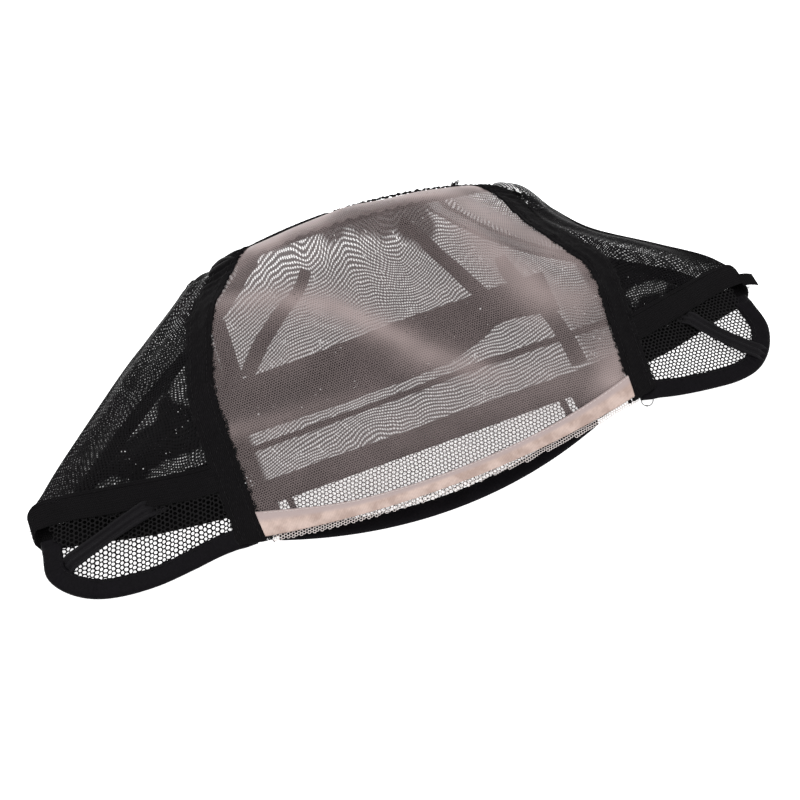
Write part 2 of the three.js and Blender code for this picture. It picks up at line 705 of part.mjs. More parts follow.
// The gathered seam along the crown, between the ends of the lace and of the back mesh.
function crownSeam() {
  const sides = 6;
  const steps = CROWN_GATHERS * 4;
  const halfDeep = (DEPTH / 2 - section.y(1) - SEAM_GAP) / 2;
  const start = laceEdgeGirth(-1, 1, SEAM_RIBBON);
  const end = laceEdgeGirth(1, 1, SEAM_RIBBON);
  const positions = [];
  for (let i = 0; i <= steps; i += 1) {
    const centre = formPoint(THREE.MathUtils.lerp(start, end, i / steps), 1);
    centre.add(new THREE.Vector3(0, SEAM_GAP + halfDeep, -section.fold(1) / 2));
    const ruffle = 1 - GATHER_DEPTH * (1 - Math.cos(2 * Math.PI * CROWN_GATHERS * (i / steps)));
    for (let j = 0; j < sides; j += 1) {
      const angle = (2 * Math.PI * j) / sides;
      const deep = halfDeep * Math.cos(angle);
      const high = (CROWN_CORD / 2) * ruffle * Math.sin(angle);
      positions.push(centre.x, centre.y + deep, centre.z + high);
    }
  }
  const indices = [];
  for (let i = 0; i < steps; i += 1) {
    for (let j = 0; j < sides; j += 1) {
      const a = i * sides + j;
      const b = i * sides + ((j + 1) % sides);
      indices.push(a, b, b + sides, a, b + sides, a + sides);
    }
  }
  const lastRing = steps * sides;
  for (let j = 1; j < sides - 1; j += 1) {
    indices.push(0, j + 1, j, lastRing, lastRing + j, lastRing + j + 1);
  }
  const geometry = new THREE.BufferGeometry();
  geometry.setAttribute("position", new THREE.Float32BufferAttribute(positions, 3));
  geometry.setIndex(indices);
  return faceOutwards(geometry);
}

// Finishes.
const finish = (color, roughness) => new THREE.MeshStandardMaterial({ color, roughness, metalness: 0 });
const LACE = finish(0x968a87, 0.6);
const TAPE = finish(0xd7b9aa, 0.8);
const MESH = finish(0x1b191b, 0.8);
const NET = finish(0x141214, 0.8);
const RIBBON = finish(0x121012, 0.9);
const ELASTIC = finish(0x1a1719, 0.85);
const BINDING = finish(0x17141a, 0.6);

const cap = new THREE.Group();

// Adds one piece to the cap.
function addPiece(name, geometry, material) {
  const mesh = new THREE.Mesh(geometry, material);
  mesh.name = name;
  cap.add(mesh);
}

addPiece("lace_front", laceFront(), LACE);
addPiece("hairline_tape", hairlineTape(), TAPE);
addPiece("back_mesh", backMesh(), MESH);
addPiece("elastic_band", elasticBand(), ELASTIC);
addPiece("nape_net", napeNet(), NET);
addPiece("nape_binding", napeBinding(), BINDING);
addPiece("crown_seam", crownSeam(), ELASTIC);
for (const [side, sign] of [["left", -1], ["right", 1]]) {
  addPiece(`seam_ribbon_${side}`, seamRibbon(sign), RIBBON);
  addPiece(`side_mesh_${side}`, sideMesh(sign), MESH);
  addPiece(`back_ribbon_${side}`, backRibbon(sign), RIBBON);
  addPiece(`tab_net_${side}`, tabNet(sign), NET);
  addPiece(`tab_binding_${side}`, tabBinding(sign), BINDING);
  addPiece(`nape_end_tape_${side}`, napeEndTape(sign), ELASTIC);
  addPiece(`strap_${side}`, strapGeometry(sign), RIBBON);
}
addPiece("back_cross_band", backTape(INNER_TAPES.back_cross_band), ELASTIC);
addPiece("back_line_tape", backTape(INNER_TAPES.back_line_tape), ELASTIC);
addPiece("crown_ribbon_left", backTape(INNER_TAPES.crown_ribbon_left), RIBBON);
addPiece("crown_ribbon_right", backTape(INNER_TAPES.crown_ribbon_right), RIBBON);

export default cap;
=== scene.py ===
"""The looks of a lace wig cap that lies flattened on a pale table, its lace front up.

Sizes in the classes are millimetres in the cap's own frame, +Z up and the rim towards -Y, and meshes are
made in metres. A point of the cap is given by its girth, which counts round a section of it, and its place,
from the rim at 0 to the crown at 1.
"""
import logging
import math
from collections.abc import Callable, Sequence
from dataclasses import dataclass
from enum import Enum
from functools import cached_property

import bpy
import numpy as np
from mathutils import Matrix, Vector


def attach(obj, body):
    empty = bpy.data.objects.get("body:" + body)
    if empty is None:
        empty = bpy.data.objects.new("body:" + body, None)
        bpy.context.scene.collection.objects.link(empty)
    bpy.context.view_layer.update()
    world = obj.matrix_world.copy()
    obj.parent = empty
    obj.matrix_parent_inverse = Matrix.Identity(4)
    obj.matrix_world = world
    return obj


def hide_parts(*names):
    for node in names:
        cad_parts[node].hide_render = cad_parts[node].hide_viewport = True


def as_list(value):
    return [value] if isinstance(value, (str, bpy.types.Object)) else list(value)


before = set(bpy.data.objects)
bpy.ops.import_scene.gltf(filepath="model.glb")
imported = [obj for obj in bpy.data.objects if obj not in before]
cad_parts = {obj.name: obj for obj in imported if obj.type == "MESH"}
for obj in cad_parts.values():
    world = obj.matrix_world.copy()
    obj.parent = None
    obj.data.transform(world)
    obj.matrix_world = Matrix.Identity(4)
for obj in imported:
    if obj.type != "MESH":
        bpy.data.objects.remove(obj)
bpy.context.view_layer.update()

MM = 0.001
ABOVE_TABLE = 0.05
LOG = logging.getLogger("lace_wig_cap")

Array = np.ndarray
Line = Callable[[Array], Array]
Spot = tuple[float, float, float]


class Side(Enum):
    """The cap's two sides, by the sign of their x."""

    LEFT = -1
    RIGHT = 1

    @property
    def word(self) -> str:
        """The side's name as the nodes spell it."""
        return self.name.lower()


class Weave(Enum):
    """How a closed cloth's threads lie."""

    PLAIN = "plain"
    RIBBED = "ribbed"
    BRAIDED = "braided"


def lerp(start: Array, end: Array, share: Array) -> Array:
    """The value that far from start to end."""
    return start + (end - start) * share


def smooth_step(value: Array, low: float, high: float) -> Array:
    """0 below low, 1 above high and an S-shaped rise between them."""
    share = np.clip((value - low) / (high - low), 0.0, 1.0)
    return share * share * (3 - 2 * share)


def unit(vectors: Array) -> Array:
    """The vectors at length 1, along their last axis."""
    return vectors / np.maximum(np.linalg.norm(vectors, axis=-1, keepdims=True), 1e-12)


class SmoothRows:
    """A smooth curve through rows of xs and ys that never swings past a row."""

    def __init__(self, xs: Sequence[float], ys: Sequence[float]) -> None:
        """Works out the curve's slope at each row: the harmonic mean of the slopes before and after it.

        Args:
            xs: where the rows stand, rising.
            ys: the curve's height at each.
        """
        self.xs, self.ys = np.array(xs, float), np.array(ys, float)
        slopes = np.diff(self.ys) / np.diff(self.xs)
        before, after = slopes[:-1], slopes[1:]
        total = np.where(before + after == 0, 1, before + after)
        inner = np.where(before * after <= 0, 0, 2 * before * after / total)
        self.tangents = np.concatenate([slopes[:1], inner, slopes[-1:]])

    def __call__(self, x: Array) -> Array:
        """The curve's height at x: a cubic between the two rows, held at the ends.

        Args:
            x: where the curve is read.

        Returns:
            The heights.
        """
        row = np.clip(np.searchsorted(self.xs, x, side="left") - 1, 0, len(self.xs) - 2)
        width = self.xs[row + 1] - self.xs[row]
        t = np.clip((x - self.xs[row]) / width, 0, 1)
        rise = t * t * (3 - 2 * t)
        bow = t * (1 - t) * width
        start, end = self.ys[row], self.ys[row + 1]
        return start + rise * (end - start) + bow * ((1 - t) * self.tangents[row]
                                                     - t * self.tangents[row + 1])


# Sections across the cap, rim first: shares of the form's depth, and at each the shares of its other sizes.
# bell is a power that shapes the mound: the larger, the narrower.
SECTION_DEPTH = (0.0, 0.13, 0.27, 0.41, 0.48, 0.61, 0.745, 0.85, 0.92, 0.96, 0.98)
SECTION_ROWS = {
    "left": (1.0, 1.0, 1.0, 1.0, 0.95, 0.84, 0.715, 0.6, 0.52, 0.47, 0.43),
    "right": (1.0, 1.0, 1.0, 1.0, 0.97, 0.845, 0.7, 0.615, 0.555, 0.51, 0.475),
    "crest": (0.2, 0.26, 0.4, 0.6, 0.71, 0.86, 0.97, 1.0, 0.89, 0.7, 0.44),
    "fold": (0.25, 0.3, 0.5, 0.68, 0.72, 0.8, 0.95, 1.0, 0.95, 0.8, 0.64),
    "base": (0.0, 0.0, 0.0, 0.0, 0.0, 0.0, 0.0, 0.06, 0.33, 0.7, 1.0),
    "bell": (2.4, 2.0, 1.5, 1.2, 1.1, 1.0, 0.9, 0.75, 0.6, 0.5, 0.5),
}
# Lines of the soft folds: x0, y0, x1, y1, lift and spread. x is a share of half the span and y of the depth
# from the rim, lift and spread are shares of the crest.
SOFT_FOLDS = (
    (-0.37, 0.756, 0.17, 0.335, 0.06, 0.17),
    (0.32, 0.67, 0.55, 0.44, 0.045, 0.15),
    (-0.47, 0.4, 0.11, 0.35, 0.03, 0.12),
    (-0.4, 0.55, -0.1, 0.45, -0.045, 0.2),
    (0.02, 0.7, 0.3, 0.5, -0.045, 0.24),
    (-0.62, 0.62, -0.5, 0.36, -0.03, 0.24),
)
STEP = 1e-3
# Rounds of halving and of approach, enough for a hundredth of a millimetre.
HALVINGS = 22
APPROACHES = 10


def stage_of(girth: Array) -> Array:
    """The girth counted from the top's middle either way, 0 to 3."""
    return np.abs(np.mod(girth + 3, 6) - 3)


@dataclass(frozen=True)
class LyingForm:
    """The outermost face of the cap as it lies: a low mound over a flat back, joined by round side folds."""

    span: float = 302.0
    depth: float = 133.0
    crest: float = 42.0
    fold_loop: float = 8.5
    crown_edge: float = 13.0
    crown_bow: float = 6.0
    bow_start: float = 0.4
    tuck_start: float = 0.955
    tuck_sink: float = 0.7
    tuck_reach: float = 2.0

    @property
    def half(self) -> float:
        """Half of the span."""
        return self.span / 2

    @property
    def rim_y(self) -> float:
        """The nape rim's y."""
        return -self.depth / 2

    def depth_y(self, share: Array) -> Array:
        """The y at a share of the depth from the rim."""
        return self.rim_y + np.asarray(share) * self.depth

    @cached_property
    def rows(self) -> dict[str, SmoothRows]:
        """One curve along the cap for each size of its section. The place is the length of the crest's line.

        Returns:
            The curves by the size's name, and that of y.
        """
        depth, crest = np.array(SECTION_DEPTH), np.array(SECTION_ROWS["crest"])
        lengths = np.hypot(np.diff(depth) * self.depth, np.diff(crest) * self.crest)
        places = np.concatenate([[0], np.cumsum(lengths)]) / lengths.sum()
        sizes = {"left": self.half, "right": self.half, "crest": self.crest, "fold": self.fold_loop}
        sizes |= {"base": self.crown_edge, "bell": 1.0}
        curves = {name: SmoothRows(places, np.array(SECTION_ROWS[name]) * size) for name,
                  size in sizes.items()}
        return curves | {"y": SmoothRows(places, self.depth_y(depth))}

    def bowed_y(self, share: Array, place: Array) -> Array:
        """The y of a point at a share of the half width: sections bow forwards towards the crown."""
        bow = smooth_step(place, self.bow_start, 1) * self.crown_bow
        return self.rows["y"](place) - bow * np.minimum(1, np.square(share))

    def place_of_y(self, y: Array, share: Array = 0.0) -> Array:
        """The place where a point at a share of the half width has that y, by halving.

        Args:
            y: the points' y.
            share: their shares of the half width.

        Returns:
            The places.
        """
        y, share = np.broadcast_arrays(np.asarray(y, float), np.asarray(share, float))
        low, high = np.zeros(y.shape), np.ones(y.shape)
        for _ in range(HALVINGS):
            middle = (low + high) / 2
            before = self.bowed_y(share, middle) < y
            low, high = np.where(before, middle, low), np.where(before, high, middle)
        return (low + high) / 2

    def flat_half(self, sign: Array, place: Array) -> Array:
        """Half width of the section's flat part on one side, up to where its fold starts to turn."""
        half = np.where(np.asarray(sign) < 0, self.rows["left"](place), self.rows["right"](place))
        return half - self.rows["fold"](place) / 2

    def soft_folds(self, x: Array, y: Array) -> Array:
        """Height of the soft folds: round each line, lift times exp(-(distance / spread) squared).

        Args:
            x: the points' x.
            y: the points' y.

        Returns:
            The heights.
        """
        height = np.zeros(np.broadcast(x, y).shape)
        for x0, y0, x1, y1, lift, spread in SOFT_FOLDS:
            start = np.array([x0 * self.half, self.depth_y(y0)])
            end = np.array([x1 * self.half, self.depth_y(y1)])
            distance = line_distance(x, y, np.array([start, end])) / (spread * self.crest)
            height += lift * self.crest * np.exp(-distance * distance)
        return height

    def point(self, girth: Array, place: Array) -> Array:
        """The face's point. Girth runs 0 to 1 over the top, to 2 round the fold and to 3 along the back.

        The top is a bell: the height between crest and fold times (1 - girth squared) to the power of bell.
        The fold is half a circle and the back is flat.

        Args:
            girth: girths of the points.
            place: places of the points.

        Returns:
            The points, (..., 3).
        """
        girth, place = np.broadcast_arrays(np.asarray(girth, float), np.asarray(place, float))
        turn = np.mod(girth + 3, 6) - 3
        sign, stage = np.where(turn < 0, -1.0, 1.0), np.abs(turn)
        flat, fold = self.flat_half(sign, place), self.rows["fold"](place)
        base, crest = self.rows["base"](place), self.rows["crest"](place)
        y = self.bowed_y(np.where(stage <= 2, stage, 3 - stage), place)
        bell = np.power(np.clip(1 - stage * stage, 0, 1), self.rows["bell"](place))
        top_x = sign * stage * flat
        folds = self.soft_folds(top_x, y) * np.minimum(1, 4 * bell)
        top_z = base + fold + (crest - base - fold) * bell + folds
        angle = np.pi * (stage - 1)
        fold_x = sign * (flat + fold / 2 * np.sin(angle))
        fold_z = base + fold / 2 * (1 + np.cos(angle))
        on_top, on_fold = stage <= 1, stage <= 2
        x = np.where(on_top, top_x, np.where(on_fold, fold_x, sign * (3 - stage) * flat))
        z = np.where(on_top, top_z, np.where(on_fold, fold_z, base))
        return np.stack([x, y, z], axis=-1)

    def normal(self, girth: Array, place: Array) -> Array:
        """The face's direction outwards: the cross product of its slopes across and along.

        Args:
            girth: girths of the points.
            place: places of the points.

        Returns:
            The directions, each of length 1.
        """
        before = np.minimum(place, 1 - STEP)
        across = self.point(girth + STEP, before) - self.point(girth - STEP, before)
        along = self.point(girth, before + STEP) - self.point(girth, np.maximum(0, before - STEP))
        return unit(np.cross(across, along))

    def lifted(self, girth: Array, place: Array, lift: Array) -> Array:
        """A point that stands that far out of the face, or is sunk in it where the lift is negative."""
        return self.point(girth, place) + self.normal(girth, place) * np.asarray(lift)[..., None]

    def tucked(self, points: Array, girth: Array, place: Array) -> Array:
        """Draws the last of a cloth into the crown seam: to the fold's middle height and a little further on.

        Args:
            points: the cloth's points.
            girth: girths of the points.
            place: places of the points.

        Returns:
            The moved points.
        """
        share = smooth_step(place, self.tuck_start, 1.0)
        level = np.abs(np.cos(np.pi * (np.clip(stage_of(girth), 1, 2) - 1)))
        middle = self.rows["base"](place) + self.rows["fold"](place) / 2
        moved = points.copy()
        moved[..., 2] = lerp(points[..., 2], middle, self.tuck_sink * share * level)
        moved[..., 1] += self.tuck_reach * share
        return moved

    def girth_of_x(self, x: Array, place: Array) -> Array:
        """The girth at which the top has that x."""
        return x / self.flat_half(x, place)

    def top_height(self, x: Array, y: Array) -> Array:
        """Height of the top over a point of the plan."""
        place = self.place_of_y(y)
        return self.point(np.clip(self.girth_of_x(x, place), -1, 1), place)[..., 2]


def line_distance(x: Array, y: Array, corners: Array) -> Array:
    """Distance in plan from each point to the nearest stretch of a line through corners.

    Args:
        x: the points' x.
        y: the points' y.
        corners: the line's corners, (n, 2).

    Returns:
        The distances.
    """
    spot = np.stack(np.broadcast_arrays(x, y), axis=-1).astype(float)
    nearest = np.full(spot.shape[:-1], np.inf)
    for start, end in zip(corners[:-1], corners[1:]):
        line = end - start
        share = np.clip(((spot - start) @ line) / (line @ line), 0, 1)
        nearest = np.minimum(nearest, np.linalg.norm(spot - start - share[..., None] * line, axis=-1))
    return nearest


# Side edges of the lace: shares of its half widths at shares of the depth.
EDGE_DEPTH = (0.0, 0.2, 0.4, 0.52, 0.62, 0.74, 0.86, 0.974)
LACE_EDGE = {
    Side.LEFT: (0.98, 1.0, 1.0, 0.99, 0.94, 0.86, 0.67, 0.5),
    Side.RIGHT: (0.93, 0.97, 1.0, 1.01, 0.93, 0.83, 0.77, 0.68),
}
# Lower edge of the elastic band: girths, and shares of the depth there.
BAND_GIRTH = (0.4, 0.6, 0.8, 1.0, 1.5, 2.0, 2.3, 2.56, 3.0)
BAND_LOWER = (0.25, 0.272, 0.32, 0.365, 0.34, 0.308, 0.24, 0.212, 0.212)
# Outer edge of an ear tab: shares of half the span, and of the tab's depth below its top.
TAB_OUT = (0.5, 0.58, 0.66, 0.75, 0.84, 0.91, 0.965, 0.995, 0.99)
TAB_DROP = {
    Side.LEFT: (0.88, 0.87, 0.9, 0.92, 0.88, 0.78, 0.6, 0.38, 0.14),
    Side.RIGHT: (0.82, 0.85, 0.92, 0.97, 0.99, 0.92, 0.72, 0.44, 0.14),
}


@dataclass(frozen=True)
class CutLines:
    """Where each cloth of the cap ends, as lines on the lying form."""

    form: LyingForm
    lace_half: tuple[float, float] = (71.0, 86.0)
    seam_ribbon: float = 10.5
    elastic_band: float = 10.0
    rim_binding: float = 7.5
    nape_binding: float = 6.5
    selvage: float = 2.4
    tape: float = 5.2
    tape_flare: float = 3.2
    hairline_rise: float = 11.0
    hairline_back: float = 4.5
    nape_half: float = 66.0
    nape_rise: float = 12.5
    tab_depth: float = 34.0
    tab_top: float = 0.32
    gap: float = 0.5
    back_ribbon_in: tuple[float, float] = (0.02, 0.14)

    def beside_lace(self, side: Side, y: Array, outward: Array) -> Array:
        """Distance from the middle of a line beside the lace's edge, measured square to the edge.

        Args:
            side: the lace's side.
            y: where the line is read.
            outward: how far outside the lace it runs.

        Returns:
            The distances.
        """
        half = self.lace_half[0] if side is Side.LEFT else self.lace_half[1]
        edge = SmoothRows(self.form.depth_y(EDGE_DEPTH), np.array(LACE_EDGE[side]) * half)
        lean = (edge(y + 1) - edge(y - 1)) / 2
        return edge(y) + outward * np.hypot(1, lean)

    def lace_girth(self, side: Side, place: Array, outward: Array) -> Array:
        """Girth of a line beside the lace's edge."""
        x = side.value * self.beside_lace(side, self.form.rows["y"](place), outward)
        return self.form.girth_of_x(x, place)

    def band_y(self, girth: Array) -> Array:
        """The y of the elastic band's lower edge."""
        return SmoothRows(BAND_GIRTH, self.form.depth_y(BAND_LOWER))(stage_of(girth))

    def band_place(self, girth: Array, beyond: float) -> Array:
        """Place of the band's lower edge, moved towards the crown."""
        return self.form.place_of_y(self.band_y(girth) + beyond)

    def hairline_y(self, x: Array) -> Array:
        """The y of the hairline: a parabola."""
        return self.form.rim_y + self.hairline_back + self.hairline_rise * np.square(x / self.lace_half[1])

    def hairline_place(self, girth: Array, beyond: Array) -> Array:
        """Place of the hairline, moved towards the crown."""
        x = girth * self.form.flat_half(girth, 0.0)
        return self.form.place_of_y(self.hairline_y(x) + beyond)

    def tape_width(self, girth: Array) -> Array:
        """Width of the hairline tape in plan: it widens towards the hairline's ends."""
        x = girth * self.form.flat_half(girth, 0.0)
        return self.tape + self.tape_flare * np.square(x / self.lace_half[1])

    def nape_y(self, x: Array) -> Array:
        """The y of the nape rim: a parabola."""
        return self.form.rim_y + self.nape_rise * np.square(np.asarray(x) / self.nape_half)

    def back_ribbon_girth(self, side: Side, place: Array, inward: float) -> Array:
        """Girth of the back ribbon's outer edge, moved inwards along the back."""
        offset = lerp(*self.back_ribbon_in, place) * self.form.half + inward
        return side.value * (2 + offset / self.form.flat_half(side.value, place))

    def tab_edge(self, side: Side, share: Array, inward: Array = 0.0) -> Array:
        """The ear tab's outer edge in plan, moved inwards: a smooth curve through its rows.

        Args:
            side: the tab's side.
            share: shares of the edge, from the ribbon to the fold.
            inward: how far inside the edge.

        Returns:
            The plan points, (..., 2).
        """
        top = self.form.depth_y(self.tab_top)
        rows = np.stack([side.value * np.array(TAB_OUT) * self.form.half,
                         top - np.array(TAB_DROP[side]) * self.tab_depth], axis=-1)
        share, inward = np.broadcast_arrays(np.asarray(share, float), np.asarray(inward, float))
        tangent = unit(spline(rows, share + STEP / 10) - spline(rows, share - STEP / 10))
        inside = np.stack([-tangent[..., 1], tangent[..., 0]], axis=-1) * side.value
        return spline(rows, share) + inside * inward[..., None]

    def tab_start(self, side: Side) -> float:
        """Share of the tab's edge where the binding's whole width clears the seam ribbon.

        Args:
            side: the tab's side.

        Returns:
            The share.
        """
        shares = np.linspace(0, 0.5, 501)[:, None]
        points = self.tab_edge(side, shares, np.array([0.0, self.rim_binding]))
        clear = np.abs(points[..., 0]) >= self.beside_lace(side, points[..., 1], self.seam_ribbon + self.gap)
        return float(shares[np.argmax(clear.all(axis=1)), 0])


def spline(rows: Array, share: Array) -> Array:
    """A point of the uniform cubic curve through rows, by share of its length counted in rows.

    Args:
        rows: the rows, (n, numbers of a row).
        share: where the curve is read, 0 to 1.

    Returns:
        The rows there.
    """
    last = len(rows) - 1
    spot = np.clip(share, 0, 1) * last
    index = np.clip(np.floor(spot).astype(int), 0, last - 1)
    t = (spot - index)[..., None]
    before, start = rows[np.maximum(index - 1, 0)], rows[index]
    end, after = rows[index + 1], rows[np.minimum(index + 2, last)]
    leave, arrive = (end - before) / 2, (after - start) / 2
    cubic = (2 * start - 2 * end + leave + arrive) * t**3
    square = (-3 * start + 3 * end - 2 * leave - arrive) * t**2
    return cubic + square + leave * t + start


@dataclass(frozen=True)
class Panel:
    """A cloth's region of the form. start and end give girths at a place, low and high places at a girth."""

    start: Line
    end: Line
    low: Line
    high: Line

    def grid(self, columns: int, rows: int) -> tuple[Array, Array]:
        """Girths and places of a grid between the four edges, found by repeated approach.

        Args:
            columns: faces across the panel.
            rows: faces along it.

        Returns:
            The girths and the places, each (rows + 1, columns + 1).
        """
        across = np.linspace(0, 1, columns + 1)[None, :]
        along = np.linspace(0, 1, rows + 1)[:, None]
        place = np.full((rows + 1, columns + 1), 0.5)
        for _ in range(APPROACHES):
            girth = lerp(self.start(place), self.end(place), across)
            place = lerp(self.low(girth), self.high(girth), along)
        return girth, place


def grid_faces(rows: int, columns: int, closed: bool = False) -> Array:
    """Four-cornered faces of a grid of (rows + 1) by (columns + 1) points, or of rings where it is closed.

    Args:
        rows: faces along the grid.
        columns: faces across it.
        closed: whether each row is a ring.

    Returns:
        Corner numbers, (faces, 4).
    """
    width = columns if closed else columns + 1
    j, i = np.meshgrid(np.arange(rows), np.arange(columns), indexing="ij")
    after = (i + 1) % width
    return np.stack([j * width + i, j * width + after, (j + 1) * width + after, (j + 1) * width + i],
                    -1).reshape(-1, 4)


def ring_faces(rings: int, corners: int, flipped: bool = False) -> tuple[Array, Array]:
    """Faces of a closed profile that is carried along a path, and a cap at each end.

    Args:
        rings: how many times the profile stands along the path.
        corners: its corners.
        flipped: whether the faces are turned round.

    Returns:
        The walls and the two caps.
    """
    walls = grid_faces(rings - 1, corners, closed=True)
    first = np.arange(corners)
    caps = np.stack([first, ((rings - 1) * corners + first)[::-1]])
    return (walls[:, ::-1], caps[:, ::-1]) if flipped else (walls, caps)


def line_length(points: Array) -> float:
    """Length of a line through points."""
    return float(np.linalg.norm(np.diff(points, axis=0), axis=1).sum())


def lay_lengths(points: Array) -> Array:
    """How the cloth's threads run: lengths along each row from its middle and each column from its start.

    Args:
        points: the cloth's grid of points, (rows, columns, 3).

    Returns:
        The lengths, with 0 as the third number.
    """
    across = np.linalg.norm(np.diff(points, axis=1), axis=-1).cumsum(axis=1)
    across = np.concatenate([np.zeros((len(points), 1)), across], axis=1)
    across -= across[:, across.shape[1] // 2][:, None]
    along = np.linalg.norm(np.diff(points, axis=0), axis=-1).cumsum(axis=0)
    along = np.concatenate([np.zeros((1, points.shape[1])), along], axis=0)
    return np.stack([across, along, np.zeros_like(along)], axis=-1)


def add_piece(name: str, points: Array, faces: Sequence[Array], material: bpy.types.Material,
              lay: Array | None = None, marks: dict[str, Array] | None = None) -> bpy.types.Object:
    """Makes a smooth mesh piece from points in millimetres.

    Args:
        name: the piece's name.
        points: its points, (..., 3), in millimetres.
        faces: arrays of corner numbers, one for each number of corners.
        material: its finish.
        lay: thread lengths at each point in millimetres, kept in metres as the attribute lay.
        marks: further numbers at each point, kept under their names.

    Returns:
        The object, linked to the scene and riding on the cap's body.
    """
    mesh = bpy.data.meshes.new(name)
    flat = np.ascontiguousarray(points.reshape(-1, 3) * MM, dtype=np.float32)
    mesh.from_pydata(flat, [], [face for group in faces for face in group.tolist()])
    mesh.shade_smooth()
    if lay is not None:
        vectors = np.ascontiguousarray(lay.reshape(-1, 3) * MM, dtype=np.float32)
        mesh.attributes.new("lay", "FLOAT_VECTOR", "POINT").data.foreach_set("vector", vectors.ravel())
    for mark, values in (marks or {}).items():
        numbers = np.ascontiguousarray(values.reshape(-1), dtype=np.float32)
        mesh.attributes.new(mark, "FLOAT", "POINT").data.foreach_set("value", numbers)
    mesh.materials.append(material)
    mesh.update()
    piece = bpy.data.objects.new(name, mesh)
    bpy.context.scene.collection.objects.link(piece)
    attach(piece, "root")
    return piece


def thicken(piece: bpy.types.Object, wall: float, offset: float = -1.0) -> bpy.types.Object:
    """Gives a cloth its wall, in millimetres, on the inner side unless offset says otherwise.

    Args:
        piece: the cloth.
        wall: its thickness.
        offset: -1 for the inner side, 0 for both.

    Returns:
        The piece.
    """
    solid = piece.modifiers.new("wall", "SOLIDIFY")
    solid.thickness = wall * MM
    solid.offset = offset
    return piece


def tubes(paths: Array, radius: Array, sides: int = 5) -> tuple[Array, Array]:
    """Round threads along many paths at once: a ring square to the path at each of its points.

    Args:
        paths: the paths' points, (threads, points, 3).
        radius: the radius at each point, or one for all.
        sides: corners of a ring.

    Returns:
        The points (n, 3) and the faces, with both ends drawn together to close them.
    """
    count, steps, _ = paths.shape
    tangent = unit(np.gradient(paths, axis=1))
    helper = np.where(np.abs(tangent[..., 2:3]) < 0.8, [0.0, 0.0, 1.0], [1.0, 0.0, 0.0])
    side = unit(np.cross(tangent, helper))
    upright = np.cross(side, tangent)
    angle = np.linspace(0, 2 * np.pi, sides, endpoint=False)
    ring = np.cos(angle)[:, None] * side[:, :, None, :] + np.sin(angle)[:, None] * upright[:, :, None, :]
    reach = np.broadcast_to(np.asarray(radius, float), (count, steps)).copy()
    reach[:, [0, -1]] *= 0.35
    points = paths[:, :, None, :] + ring * reach[:, :, None, None]
    walls = grid_faces(steps - 1, sides, closed=True)
    starts = np.arange(count)[:, None, None] * steps * sides
    return points.reshape(-1, 3), (walls[None] + starts).reshape(-1, 4)


def inside_outline(points: Array, outline: Array) -> Array:
    """Which points of the plan lie inside a closed outline, by counting its crossings on one side of them.

    Args:
        points: plan points, (..., 2).
        outline: the outline's corners, (n, 2).

    Returns:
        True for each point inside.
    """
    x, y = points[..., 0, None], points[..., 1, None]
    ax, ay = outline[:, 0], outline[:, 1]
    bx, by = np.roll(ax, 1), np.roll(ay, 1)
    rise = np.where(by == ay, 1e-9, by - ay)
    crosses = ((ay > y) != (by > y)) & (x < (bx - ax) * (y - ay) / rise + ax)
    return crosses.sum(axis=-1) % 2 == 1


def honeycomb(outline: Array, pitch: float, bar: float, turn: float, seed: int,
              pressed: float = 1.0) -> tuple[Array, Array, Array]:
    """A net of hexagonal cells inside an outline.

    Each cell is a ring of faces between its outer edge, which it shares with its neighbours, and a hole with
    rounded corners. The cells' corners wander a little, the same for every cell that shares them.

    Args:
        outline: the net's outline in plan.
        pitch: distance between cells.
        bar: width of a bar.
        turn: the lattice's turn in degrees.
        seed: start of the random wander.
        pressed: height of a cell over that of an even one.

    Returns:
        Plan points (n, 2), the faces and a mark that is 1 on a bar's middle line and 0 at its edge.
    """
    low, high = outline.min(axis=0), outline.max(axis=0)
    middle, reach = (low + high) / 2, np.linalg.norm(high - low) / 2 + pitch
    count = int(reach / pitch / pressed) + 2
    i, j = np.meshgrid(np.arange(-count, count + 1), np.arange(-count * 2, count * 2 + 1), indexing="ij")
    grid = np.stack([(i + (j % 2) / 2) * pitch, j * pitch * math.sqrt(3) / 2], axis=-1).reshape(-1, 2)
    angle = math.radians(turn)
    shape = np.array([[math.cos(angle), math.sin(angle)], [-math.sin(angle) * pressed, math.cos(angle)
                                                           * pressed]])
    centres = grid[inside_outline(grid @ shape + middle, outline)]
    steps = np.arange(12) * np.pi / 6 + np.pi / 6
    corner, flat = pitch / math.sqrt(3), pitch / 2
    outer = np.where(np.arange(12) % 2 == 0, corner, flat)
    hole = np.where(np.arange(12) % 2 == 0, (flat - bar / 2) * 1.06, flat - bar / 2)
    rays = np.stack([np.cos(steps), np.sin(steps)], axis=-1)
    rings = np.stack([centres[:, None] + rays * outer[:, None], centres[:, None] + rays * hole[:, None]],
                     axis=1)
    keys = np.round(rings.reshape(-1, 2) / 0.02).astype(int)
    _, first, number = np.unique(keys, axis=0, return_index=True, return_inverse=True)
    points = rings.reshape(-1, 2)[first] @ shape
    number = number.reshape(len(centres), 2, 12)
    after = np.roll(number, -1, axis=2)
    faces = np.stack([number[:, 0], after[:, 0], after[:, 1], number[:, 1]], axis=-1).reshape(-1, 4)
    raised = np.zeros(len(points))
    raised[np.unique(number[:, 0])] = 1
    return points + middle + wander(points, 9.0, 0.07 * pitch, seed), faces, raised


